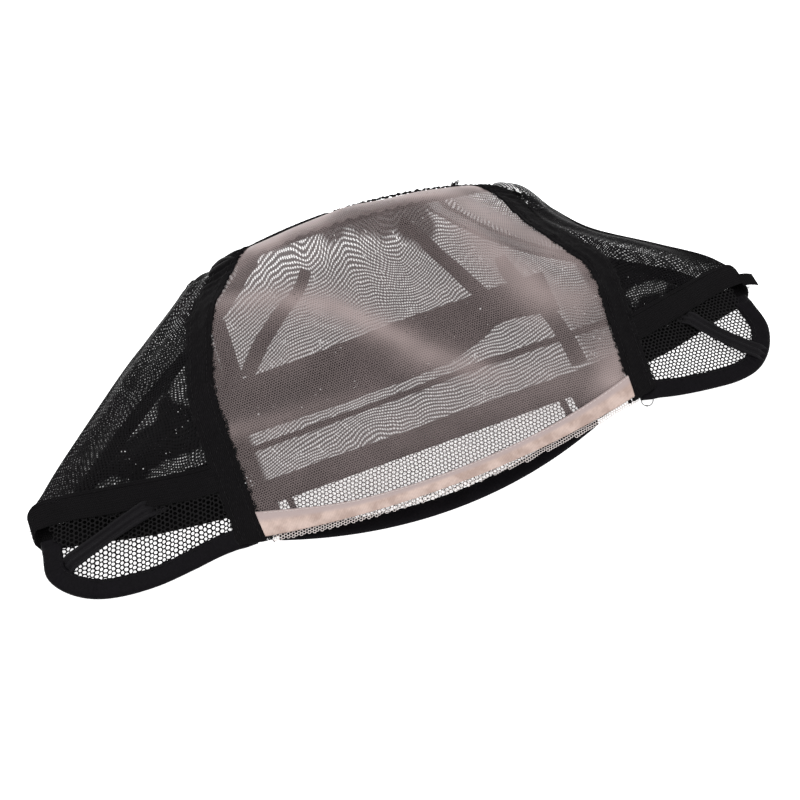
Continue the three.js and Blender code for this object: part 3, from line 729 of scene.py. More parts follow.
def wander(points: Array, size: float, reach: float, seed: int) -> Array:
    """A smooth seeded wander of plan points: a few sine waves in random directions, of about that size.

    Args:
        points: plan points, (..., 2).
        size: length of the waves.
        reach: how far a point moves.
        seed: start of the random waves.

    Returns:
        The shifts, (..., 2).
    """
    random = np.random.default_rng(seed)
    shift = np.zeros(points.shape[:-1] + (2,))
    for _ in range(5):
        wave = random.normal(size=2) * 2 * np.pi / size
        phase = points[..., :2] @ wave + random.uniform(0, 2 * np.pi)
        shift += np.sin(phase)[..., None] * random.normal(size=2)
    return shift * reach / 2


def ripple(x: Array, y: Array, size: float, seed: int, waves: int = 7) -> Array:
    """A smooth seeded relief of the plan between about -1 and 1: a sum of sine waves of about that size.

    Args:
        x: the points' x.
        y: the points' y.
        size: length of the waves.
        seed: start of the random waves.
        waves: how many are added.

    Returns:
        The heights.
    """
    random = np.random.default_rng(seed)
    height = np.zeros(np.broadcast(x, y).shape)
    for _ in range(waves):
        direction = random.uniform(0, 2 * np.pi)
        number = 2 * np.pi / (size * random.uniform(0.6, 1.6))
        height += np.sin(number * (x * math.cos(direction) + y * math.sin(direction))
                         + random.uniform(0, 2 * np.pi))
    return height / math.sqrt(waves)


class Graph:
    """A node tree with short calls to add and join its nodes."""

    def __init__(self, tree: bpy.types.NodeTree) -> None:
        """Keeps the tree that the nodes go into."""
        self.tree = tree

    def add(self, kind: str, inputs: dict | None = None, **settings: object) -> bpy.types.Node:
        """Adds a node.

        Args:
            kind: the node's type name.
            inputs: a value or another node's socket for each input, by its name or number.
            settings: the node's own properties.

        Returns:
            The node.
        """
        node = self.tree.nodes.new(kind)
        for name, value in settings.items():
            setattr(node, name, value)
        for name, value in (inputs or {}).items():
            if isinstance(value, bpy.types.NodeSocket):
                self.tree.links.new(value, node.inputs[name])
            else:
                node.inputs[name].default_value = value
        return node

    def math(self, operation: str, first: object, second: object = 0.0,
             clamp: bool = False) -> bpy.types.NodeSocket:
        """The result of a sum on one or two numbers."""
        return self.add("ShaderNodeMath", {0: first, 1: second}, operation=operation,
                        use_clamp=clamp).outputs[0]

    def vector(self, operation: str, first: object, second: object = (0, 0, 0)) -> bpy.types.NodeSocket:
        """The result of a sum on one or two vectors."""
        return self.add("ShaderNodeVectorMath", {0: first, 1: second}, operation=operation).outputs[0]

    def scaled(self, vector: object, share: object) -> bpy.types.NodeSocket:
        """The vector times a number."""
        return self.add("ShaderNodeVectorMath", {0: vector, "Scale": share}, operation="SCALE").outputs[0]

    def ramp(self, value: object, low: object, high: object, to_low: float = 0.0,
             to_high: float = 1.0) -> bpy.types.NodeSocket:
        """A smooth step of the value from low to high."""
        ends = {0: value, 1: low, 2: high, 3: to_low, 4: to_high}
        return self.add("ShaderNodeMapRange", ends, interpolation_type="SMOOTHSTEP").outputs[0]

    def blend(self, share: object, start: object, end: object) -> bpy.types.NodeSocket:
        """A colour between two."""
        node = self.add("ShaderNodeMix", {0: share, 6: start, 7: end}, data_type="RGBA")
        return node.outputs[2]

    def group(self, tree: bpy.types.NodeTree, inputs: dict) -> bpy.types.Node:
        """Places a node group. Its sockets exist only once the node has its tree, so that is set first.

        Args:
            tree: the group.
            inputs: a value or another node's socket for each input, by name.

        Returns:
            The node.
        """
        node = self.tree.nodes.new("ShaderNodeGroup")
        node.node_tree = tree
        for name, value in inputs.items():
            if isinstance(value, bpy.types.NodeSocket):
                self.tree.links.new(value, node.inputs[name])
            else:
                node.inputs[name].default_value = value
        return node


def new_group(name: str, inputs: dict[str, str], outputs: dict[str, str]) -> tuple[Graph, dict,
                                                                                   bpy.types.Node]:
    """Starts a node group with named sockets.

    Args:
        name: the group's name.
        inputs: the type of each input socket, by name.
        outputs: the type of each output socket, by name.

    Returns:
        Its graph, its input sockets by name and its output node.
    """
    tree = bpy.data.node_groups.new(name, "ShaderNodeTree")
    for socket, kind in inputs.items():
        tree.interface.new_socket(name=socket, in_out="INPUT", socket_type=kind)
    for socket, kind in outputs.items():
        tree.interface.new_socket(name=socket, in_out="OUTPUT", socket_type=kind)
    entry = tree.nodes.new("NodeGroupInput")
    leave = tree.nodes.new("NodeGroupOutput")
    return Graph(tree), {socket: entry.outputs[socket] for socket in inputs}, leave


FLOAT, VECTOR, COLOUR = "NodeSocketFloat", "NodeSocketVector", "NodeSocketColor"
ROOT_THREE = math.sqrt(3)


def open_net() -> bpy.types.NodeTree:
    """The group of a knitted net: rows of threads with staggered holes between them.

    Three waves at 60 degrees to each other, one of them along the rows, add up to a field that peaks in the
    middle of each hole. A thread lies where the field stays under the threshold. With a heavier first
    wave the holes run together along the rows.

    Returns:
        The group.
    """
    inputs = {"Vector": VECTOR, "Spacing": FLOAT, "Rows": FLOAT, "Threshold": FLOAT, "Soft": FLOAT,
              "Wander": FLOAT}
    outputs = {"Thread": FLOAT, "Height": FLOAT, "Uneven": FLOAT, "Pinhole": FLOAT}
    graph, given, leave = new_group("open_net", inputs, outputs)
    noise = graph.add("ShaderNodeTexNoise", {"Vector": given["Vector"], "Scale": 70.0, "Detail": 1.0})
    shift = graph.scaled(graph.vector("SUBTRACT", noise.outputs["Color"], (0.5, 0.5, 0.5)), given["Wander"])
    spot = graph.scaled(graph.vector("ADD", given["Vector"], shift), graph.math("DIVIDE", 2 * math.pi,
                                                                                given["Spacing"]))
    waves = []
    for direction in ((0, 1, 0), (ROOT_THREE / 2, -0.5, 0), (-ROOT_THREE / 2, -0.5, 0)):
        turns = graph.add("ShaderNodeVectorMath", {0: spot, 1: direction},
                          operation="DOT_PRODUCT").outputs["Value"]
        waves.append(graph.math("COSINE", turns))
    total = graph.math("ADD", graph.math("MULTIPLY", waves[0], given["Rows"]), graph.math("ADD", waves[1],
                                                                                          waves[2]))
    field = graph.math("DIVIDE", total, graph.math("ADD", given["Rows"], 2.0))
    low = graph.math("SUBTRACT", given["Threshold"], given["Soft"])
    high = graph.math("ADD", given["Threshold"], given["Soft"])
    cells = graph.add("ShaderNodeTexVoronoi", {"Vector": given["Vector"], "Scale": 420.0})
    size = graph.ramp(noise.outputs[0], 0.4, 0.7, 0.0, 0.2)
    links = graph.tree.links
    links.new(graph.math("SUBTRACT", 1.0, graph.ramp(field, low, high)), leave.inputs["Thread"])
    links.new(graph.math("MULTIPLY", field, -1.0), leave.inputs["Height"])
    links.new(noise.outputs[0], leave.inputs["Uneven"])
    links.new(graph.math("LESS_THAN", cells.outputs["Distance"], size), leave.inputs["Pinhole"])
    return graph.tree


def crossed_threads() -> bpy.types.NodeTree:
    """The group of a closed weave: sine waves along and across the threads, crossed, ribbed or braided.

    Returns:
        The group.
    """
    inputs = {"Vector": VECTOR, "Across": FLOAT, "Along": FLOAT, "Slant": FLOAT, "Crossed": FLOAT}
    graph, given, leave = new_group("crossed_threads", inputs, {"Height": FLOAT, "Uneven": FLOAT})
    noise = graph.add("ShaderNodeTexNoise", {"Vector": given["Vector"], "Scale": 900.0, "Detail": 2.0})
    parts = graph.add("ShaderNodeSeparateXYZ", {0: given["Vector"]})
    slanted = graph.math("ADD", parts.outputs[0], graph.math("MULTIPLY", parts.outputs[1], given["Slant"]))
    waves = []
    for value, pitch in ((slanted, given["Across"]), (parts.outputs[1], given["Along"])):
        turns = graph.math("MULTIPLY", graph.math("DIVIDE", value, pitch), 2 * math.pi)
        waves.append(graph.math("SINE", turns))
    woven = graph.math("MULTIPLY", waves[0], waves[1])
    wave = graph.add("ShaderNodeMix", {0: given["Crossed"], 2: waves[0], 3: woven},
                     data_type="FLOAT").outputs[0]
    rough = graph.math("MULTIPLY", graph.math("SUBTRACT", noise.outputs[0], 0.5), 1.2)
    links = graph.tree.links
    links.new(graph.math("ADD", graph.math("MULTIPLY", wave, 0.5), rough), leave.inputs["Height"])
    slow = graph.add("ShaderNodeTexNoise", {"Vector": given["Vector"], "Scale": 120.0, "Detail": 3.0})
    links.new(slow.outputs[0], leave.inputs["Uneven"])
    return graph.tree


def loose_fibres() -> bpy.types.NodeTree:
    """The group of lint: short stretched flecks, each a peak of a noise drawn out along one direction.

    Returns:
        The group.
    """
    inputs = {"Vector": VECTOR, "Fleck": FLOAT, "Share": FLOAT}
    graph, given, leave = new_group("loose_fibres", inputs, {"Fleck": FLOAT})
    spot = graph.add("ShaderNodeVectorMath", {0: graph.vector("MULTIPLY", given["Vector"], (1.0, 0.35, 1.0)),
                                              "Scale": graph.math("DIVIDE", 1.0, given["Fleck"])},
                     operation="SCALE")
    noise = graph.add("ShaderNodeTexNoise", {"Vector": spot.outputs[0], "Scale": 1.0, "Detail": 2.0,
                                             "Roughness": 0.7})
    edge = graph.math("SUBTRACT", 1.0, given["Share"])
    graph.tree.links.new(graph.ramp(noise.outputs[0], edge, graph.math("ADD", edge, 0.08)),
                         leave.inputs["Fleck"])
    return graph.tree


GROUPS: dict[str, bpy.types.NodeTree] = {}

Colour = tuple[float, float, float]


def opaque(colour: Colour) -> tuple[float, float, float, float]:
    """The colour with full cover, as sockets take it."""
    return (*colour, 1.0)


@dataclass(frozen=True)
class OpenCloth:
    """A see-through knitted cloth. Its holes close where the attribute close rises to 1, but for pinholes.

    colour is that of the open cloth and full_colour that of the closed one. hole_cover and thread_cover are
    how much of the light the holes and the threads stop. hollow_shade is painted shade: the colour darkens to
    it towards the holes, and the threads' middles are painted a little lighter.
    """

    name: str
    colour: Colour
    full_colour: Colour
    spacing: float
    rows: float
    threshold: float
    soft: float
    wander: float
    hole_cover: float
    thread_cover: float
    roughness: float
    sheen: float
    specular: float
    pinholes: float
    hollow_shade: float = 1.0

    def make(self) -> bpy.types.Material:
        """Builds the material.

        Returns:
            The material.
        """
        material = bpy.data.materials.new(self.name)
        material.use_nodes = True
        graph = Graph(material.node_tree)
        links, shader = material.node_tree.links, material.node_tree.nodes["Principled BSDF"]
        lay = graph.add("ShaderNodeAttribute", attribute_name="lay").outputs["Vector"]
        close = graph.add("ShaderNodeAttribute", attribute_name="close").outputs["Fac"]
        net = graph.group(GROUPS["open_net"], {
            "Vector": lay, "Spacing": self.spacing * MM, "Rows": self.rows, "Threshold": self.threshold,
            "Soft": self.soft, "Wander": self.wander * MM})
        woven = graph.ramp(net.outputs["Thread"], 0.0, 1.0, self.hole_cover, self.thread_cover)
        cover = graph.add("ShaderNodeMix", {0: close, 2: woven, 3: 1.0}, data_type="FLOAT").outputs[0]
        pierced = graph.math("MULTIPLY", net.outputs["Pinhole"], self.pinholes)
        links.new(graph.math("MULTIPLY", cover, graph.math("SUBTRACT", 1.0, pierced)), shader.inputs["Alpha"])
        tone = graph.blend(close, opaque(self.colour), opaque(self.full_colour))
        shade = graph.ramp(net.outputs["Uneven"], 0.2, 0.8, 0.86, 1.1)
        # Painted shade towards the holes, down to hollow_shade, and a painted highlight of six hundredths on
        # the threads' middles.
        threads = graph.ramp(net.outputs["Thread"], 0.0, 1.0, self.hollow_shade, 1.06)
        links.new(graph.scaled(tone, graph.math("MULTIPLY", shade, threads)), shader.inputs["Base Color"])
        bump = graph.add("ShaderNodeBump", {"Height": net.outputs["Height"], "Strength": 0.3, "Distance": 0.1
                                            * MM})
        links.new(bump.outputs[0], shader.inputs["Normal"])
        rough = graph.ramp(net.outputs["Uneven"], 0.2, 0.8, self.roughness - 0.06, self.roughness + 0.06)
        links.new(rough, shader.inputs["Roughness"])
        shader.inputs["Sheen Weight"].default_value = self.sheen
        shader.inputs["Sheen Roughness"].default_value = 0.4
        shader.inputs["Specular IOR Level"].default_value = self.specular
        return material


@dataclass(frozen=True)
class CloseCloth:
    """A cloth without holes: tape, ribbon, elastic or strap. pale is the colour towards which its raised
    threads and a random mottle turn: on the raised threads it is a painted highlight, with painted shade in
    the grooves.
    """

    name: str
    colour: Colour
    pale: Colour
    weave: Weave
    across: float
    along: float
    roughness: float
    relief: float
    sheen: float = 0.02
    specular: float = 0.05
    lint: float = 0.3
    lint_colour: Colour = (0.12, 0.115, 0.12)
    tint: Colour | None = None
    pinholes: float = 0.0
    even: float = 0.5
    reads_lay: bool = True

    def make(self) -> bpy.types.Material:
        """Builds the material.

        Returns:
            The material.
        """
        material = bpy.data.materials.new(self.name)
        material.use_nodes = True
        graph = Graph(material.node_tree)
        shader = material.node_tree.nodes["Principled BSDF"]
        if self.reads_lay:
            place = graph.add("ShaderNodeAttribute", attribute_name="lay").outputs["Vector"]
        else:
            place = graph.add("ShaderNodeTexCoord").outputs["Object"]
        threads = graph.group(GROUPS["crossed_threads"], {
            "Vector": place, "Across": self.across * MM, "Along": self.along * MM,
            "Slant": 1.0 if self.weave is Weave.BRAIDED else 0.0,
            "Crossed": 0.0 if self.weave is Weave.RIBBED else 1.0})
        fleck = graph.group(GROUPS["loose_fibres"], {"Vector": place, "Fleck": 0.45 * MM, "Share": self.lint})
        height, uneven = threads.outputs["Height"], threads.outputs["Uneven"]
        mottled = graph.ramp(uneven, 0.5 - self.even, 0.5 + self.even, 0.0, 0.5 / (0.5 + self.even))
        # Raised threads turn towards pale: painted highlight on their tops and painted shade in the grooves,
        # over a random mottle.
        share = graph.math("ADD", graph.math("MULTIPLY", height, 0.55), mottled, clamp=True)
        woven = graph.blend(share, opaque(self.colour), opaque(self.pale))
        if self.tint:
            tone = graph.add("ShaderNodeAttribute", attribute_name="tone").outputs["Fac"]
            woven = graph.blend(tone, woven, opaque(self.tint))
        faint = graph.math("MULTIPLY", fleck.outputs[0], 0.16)
        links = material.node_tree.links
        links.new(graph.blend(faint, woven, opaque(self.lint_colour)), shader.inputs["Base Color"])
        if self.pinholes:
            net = graph.group(GROUPS["open_net"], {"Vector": place, "Spacing": MM, "Rows": 1.0,
                                                   "Threshold": 0.0,
                                                   "Soft": 0.1, "Wander": 0.0})
            pierced = graph.math("MULTIPLY", net.outputs["Pinhole"], self.pinholes)
            links.new(graph.math("SUBTRACT", 1.0, pierced), shader.inputs["Alpha"])
        bump = graph.add("ShaderNodeBump", {"Height": height, "Strength": self.relief, "Distance": 0.12 * MM})
        links.new(bump.outputs[0], shader.inputs["Normal"])
        links.new(graph.ramp(uneven, 0.2, 0.8, self.roughness - 0.08, self.roughness + 0.08),
                  shader.inputs["Roughness"])
        shader.inputs["Sheen Weight"].default_value = self.sheen
        shader.inputs["Sheen Roughness"].default_value = 0.5
        shader.inputs["Specular IOR Level"].default_value = self.specular
        return material


BLACK: Colour = (0.0032, 0.0029, 0.0033)
CHARCOAL: Colour = (0.0105, 0.0095, 0.0105)

FINISHES = (
    # The lace's full colour is paler and pinker than its open colour: where the lace closes along its ridges
    # and crown crest, it paints their sheen as a highlight.
    OpenCloth("sheer_lace", (0.215, 0.17, 0.168), (0.345, 0.275, 0.265), spacing=0.87, rows=1.3,
              threshold=0.05,
              soft=0.3, wander=1.2, hole_cover=0.13, thread_cover=0.50, roughness=0.5, sheen=0.10,
              specular=0.25, pinholes=0.35, hollow_shade=0.76),
    OpenCloth("back_net", CHARCOAL, BLACK, spacing=1.5, rows=2.6, threshold=0.26, soft=0.5, wander=1.5,
              hole_cover=0.16, thread_cover=0.93, roughness=0.6, sheen=0.01, specular=0.05, pinholes=0.9),
    OpenCloth("side_net", (0.004, 0.0036, 0.0042), BLACK, spacing=1.05, rows=1.3, threshold=0.32, soft=0.16,
              wander=1.3, hole_cover=0.05, thread_cover=0.985, roughness=0.6, sheen=0.01, specular=0.05,
              pinholes=0.5),
    OpenCloth("sheer_ribbon", CHARCOAL, BLACK, spacing=0.9, rows=1.4, threshold=0.2, soft=0.4, wander=0.5,
              hole_cover=0.42, thread_cover=0.74, roughness=0.6, sheen=0.01, specular=0.05, pinholes=0.0),
    OpenCloth("thin_tape", CHARCOAL, BLACK, spacing=0.9, rows=1.4, threshold=0.2, soft=0.4, wander=0.5,
              hole_cover=0.55, thread_cover=0.95, roughness=0.6, sheen=0.01, specular=0.05, pinholes=0.2),
    CloseCloth("hairline_weave", (0.40, 0.29, 0.25), (0.64, 0.50, 0.445), Weave.BRAIDED, across=0.6,
               along=0.6,
               roughness=0.5, relief=0.6, even=0.14, sheen=0.12, specular=0.3, lint=0.34,
               lint_colour=(0.85, 0.72, 0.67), tint=(0.42, 0.335, 0.325)),
    CloseCloth("selvage_thread", (0.62, 0.56, 0.54), (0.86, 0.8, 0.78), Weave.BRAIDED, across=0.3, along=0.3,
               roughness=0.55, relief=0.3, specular=0.3, lint_colour=(0.8, 0.8, 0.8), reads_lay=False),
    CloseCloth("seam_ribbon", BLACK, CHARCOAL, Weave.RIBBED, across=0.7, along=0.55, roughness=0.85,
               relief=0.8, lint=0.36),
    CloseCloth("elastic_ribs", BLACK, CHARCOAL, Weave.RIBBED, across=0.8, along=0.8, roughness=0.8,
               relief=0.9),
    CloseCloth("cross_elastic", BLACK, CHARCOAL, Weave.RIBBED, across=0.8, along=0.8, roughness=0.8,
               relief=0.9, pinholes=1.0),
    CloseCloth("folded_binding", (0.003, 0.0026, 0.0034), (0.009, 0.0078, 0.0102), Weave.BRAIDED, across=0.5,
               along=0.5, roughness=0.55, relief=0.5, sheen=0.0, specular=0.05),
    CloseCloth("strap_weave", (0.004, 0.0035, 0.0045), (0.011, 0.0095, 0.012), Weave.PLAIN, across=0.55,
               along=0.55, roughness=0.5, relief=0.5, specular=0.10),
    CloseCloth("net_thread", (0.004, 0.0035, 0.004), (0.012, 0.011, 0.012), Weave.BRAIDED, across=0.25,
               along=0.25, roughness=0.6, relief=0.5, specular=0.1, lint=0.15, reads_lay=False),
    CloseCloth("black_thread", (0.005, 0.0045, 0.005), (0.016, 0.0145, 0.016), Weave.BRAIDED, across=0.2,
               along=0.2, roughness=0.6, relief=0.4, specular=0.12, lint=0.1, reads_lay=False),
)


@dataclass
class Workroom:
    """What the sub-assemblies share: the form, the cut lines and the finishes."""

    form: LyingForm
    lines: CutLines
    finishes: dict[str, bpy.types.Material]

    def drape(self, panel: Panel, columns: int, rows: int, lift: float,
              relief: Callable[[Array, Array], Array] | None = None) -> tuple[Array, Array, Array]:
        """Lays a cloth on the form.

        Args:
            panel: the cloth's region.
            columns: faces across it.
            rows: faces along it.
            lift: how far it stands out of the form's face.
            relief: extra height at each girth and place.

        Returns:
            Its points (rows + 1, columns + 1, 3), the girths and the places.
        """
        girth, place = panel.grid(columns, rows)
        extra = 0.0 if relief is None else relief(girth, place)
        points = self.form.tucked(self.form.lifted(girth, place, lift + extra + np.zeros(girth.shape)), girth,
                                  place)
        points[..., 2] = np.maximum(points[..., 2], ABOVE_TABLE)
        return points, girth, place

    def dress(self, piece: bpy.types.Object, slot: str, *nodes: str) -> bpy.types.Object:
        """Hides the parts of model.glb that the piece stands for, and logs the piece.

        Args:
            piece: the piece.
            slot: its material slot, not used.
            nodes: the nodes that it stands for.

        Returns:
            The piece.
        """
        if nodes:
            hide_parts(*nodes)
        LOG.info("%s: %d faces, for %s", piece.name, len(piece.data.polygons), ", ".join(nodes) or "no node")
        return piece

    def declare(self, piece: bpy.types.Object, held: str, under: Sequence[str] = (),
                sewn: Sequence[bpy.types.Object] = (), crowded: float = 1.0) -> None:
        """Logs a cut cloth's flat size: its widest row and its longest column, from its thread lengths. Its
        faces' areas are read but not used.

        Args:
            piece: the cloth, whose lay attribute holds its thread lengths.
            held: how it is held, not used.
            under: names of the pieces that it rests on, not used.
            sewn: pieces sewn on it.
            crowded: how many times closer than in a plain net its lay puts the columns of its cells.
        """
        mesh = piece.data
        lay = np.empty(len(mesh.vertices) * 3, np.float32)
        mesh.attributes["lay"].data.foreach_get("vector", lay)
        width, length = (float(size) for size in np.ptp(lay.reshape(-1, 3), axis=0)[:2])
        width /= crowded
        areas = np.empty(len(mesh.polygons), np.float32)
        mesh.polygons.foreach_get("area", areas)
        LOG.info("%s: flat %.0f by %.0f mm", piece.name, width / MM, length / MM)
        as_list(sewn)

    def declare_net(self, net: bpy.types.Object, outline: Array, solid: float,
                    sewn: Sequence[bpy.types.Object] = ()) -> None:
        """Takes a coarse net that lies flat, and does nothing with it.

        Args:
            net: the net, not used.
            outline: its outline in plan, not used.
            solid: how much of the outline's area its bars fill, not used.
            sewn: pieces sewn on it, not used.
        """

    def stitches(self, name: str, path: Callable[[Array, Array], Array], length: float, pitch: float,
                 radius: float = 0.14, stitch: float = 1.7, finish: str = "black_thread",
                 slot: str = "binding") -> bpy.types.Object:
        """A row of stitches: short threads that rise out of the cloth and dive back in.

        Args:
            name: the piece's name.
            path: gives points for shares of the row and heights above the cloth.
            length: the row's length.
            pitch: distance from stitch to stitch.
            radius: the thread's radius.
            stitch: a stitch's length.
            finish: name of the thread's finish.
            slot: the piece's material slot.

        Returns:
            The piece.
        """
        count = max(2, int(length / pitch))
        middle = (np.arange(count) + 0.5) / count
        along = np.linspace(-0.5, 0.5, 5)
        share = middle[:, None] + along[None, :] * stitch / length
        height = 0.16 - 0.9 * np.abs(along) ** 2.2 + np.zeros(share.shape)
        paths = path(np.clip(share, 0, 1), height)
        points, faces = tubes(paths, radius, 5)
        return self.dress(add_piece(name, points, [faces], self.finishes[finish]), slot)

    def loops(self, name: str, roots: Array, outward: Array, along: Array, reach: Array,
              radius: float = 0.2) -> bpy.types.Object:
        """Thread loops on a torn or overcast edge: each goes out, along and back in, as half an ellipse.

        Args:
            name: the piece's name.
            roots: the middle of each loop's foot, (n, 3).
            outward: direction away from the edge at each.
            along: direction along the edge, with the loop's width as its length.
            reach: how far each stands out.
            radius: the thread's radius.

        Returns:
            The piece.
        """
        turn = np.linspace(0, np.pi, 8)[None, :, None]
        away = outward[:, None] * reach[:, None, None] * np.sin(turn)
        paths = roots[:, None] + away - along[:, None] * np.cos(turn) / 2
        points, faces = tubes(paths, radius, 5)
        return self.dress(add_piece(name, points, [faces], self.finishes["black_thread"]), "seam_ribbon")

    def fibres(self, name: str, roots: Array, outward: Array, seed: int, length: tuple[float, float],
               radius: float = 0.07) -> bpy.types.Object:
        """Thread ends that stick out of a cut edge and curl: each bends with the square of its length.

        Args:
            name: the piece's name.
            roots: where they leave the edge, (n, 3).
            outward: direction away from the edge at each root.
            seed: start of the random lengths and directions.
            length: shortest and longest.
            radius: the fibre's radius.

        Returns:
            The piece.
        """
        random = np.random.default_rng(seed)
        lean = unit(outward + random.normal(scale=0.55, size=outward.shape))
        reach = random.uniform(*length, size=len(roots))[:, None, None]
        share = np.linspace(0, 1, 5)[None, :, None]
        curl = random.normal(scale=0.3, size=outward.shape)[:, None, :]
        paths = roots[:, None, :] + reach * (lean[:, None, :] * share + curl * share**2)
        paths[..., 2] = np.maximum(paths[..., 2], 0.1)
        points, faces = tubes(paths, radius, 4)
        return self.dress(add_piece(name, points, [faces], self.finishes["black_thread"]), "seam_ribbon")


@dataclass(frozen=True)
class Ridge:
    """A soft pull of the lace with a painted highlight along it: lift raises the lace, and gather closes it
    and turns it paler, partly a real gather and partly a painted highlight. Each corner of its line is x, y
    and strength in plan.
    """

    corners: tuple[tuple[float, float, float], ...]
    lift: float
    spread: float
    gather: float

    def bell(self, x: Array, y: Array, wider: float = 1.0) -> Array:
        """Strength times a bell with a wide skirt, of distance over spread: the greatest of all stretches.

        Args:
            x: the points' x.
            y: the points' y.
            wider: how much wider than its spread the bell is.

        Returns:
            The strengths.
        """
        spot, rows = np.stack([x, y], axis=-1), np.array(self.corners, float)
        height = np.zeros(x.shape)
        for start, end in zip(rows[:-1], rows[1:]):
            line = end[:2] - start[:2]
            share = np.clip(((spot - start[:2]) @ line) / (line @ line), 0, 1)
            distance = np.linalg.norm(spot - start[:2] - share[..., None] * line,
                                      axis=-1) / (self.spread * wider)
            bell = 0.62 * np.exp(-(1.3 * distance) ** 2) + 0.38 * np.exp(-(0.62 * distance) ** 2)
            height = np.maximum(height, lerp(start[2], end[2], share) * bell)
        return height


# Ridges of the lace and the highlights painted along them: where gather closes the lace it also turns paler,
# which paints the sheen of the folds. Rows with no lift are only a closer, paler band of painted highlight.
RIDGES_AND_HIGHLIGHTS = (
    Ridge(((-66, 34, 0.1), (-56, 33, 0.6), (-33, 22.5, 0.85), (-18, 13.7, 1), (-3.3, -0.6, 0.9),
           (8.3, -12.3, 0.85), (22, -22, 0.7), (38, -29, 0.4), (58, -31, 0.1)), lift=0.9, spread=6.0,
          gather=0.84),
    Ridge(((40, 40, 0.5), (47.8, 21.5, 0.9), (54, 8.6, 1.0), (63.3, -3.3, 1.0), (74, -8.8, 0.8),
           (87.4, -9.2, 0.5)), lift=0.8, spread=8.5, gather=0.78),
    Ridge(((-71.4, -13.5, 0.8), (-54, -16.6, 0.6), (-21, -18.6, 0.4), (2, -20, 0)), lift=0.6, spread=3.6,
          gather=0.5),
    Ridge(((-60, 2, 0), (-52, 6, 0.5), (-38, 3, 0.5), (-22, 4, 0)), lift=0.4, spread=6.0, gather=0.3),
    Ridge(((24, 60, 0.5), (38, 55, 0.8), (50, 42, 0.95), (62, 30, 0.9), (76, 16, 0.9), (84, 6, 0.6)),
          lift=0.5, spread=8.5, gather=0.74),
    Ridge(((-72, -36, 0.15), (-20, -36, 0.3), (20, -36, 0.4), (60, -36, 0.7), (92, -38, 1.0)),
          lift=0.0, spread=9.0, gather=0.5),
    Ridge(((78, -42, 1.0), (86, -30, 0.6), (90, -20, 0.2)), lift=0.0, spread=11.0, gather=0.95),
    Ridge(((-66, 44, 0.9), (-50, 56, 1.0), (-30, 64, 0.8), (-8, 68, 0.4)), lift=0.0, spread=14.0, gather=0.4),
)


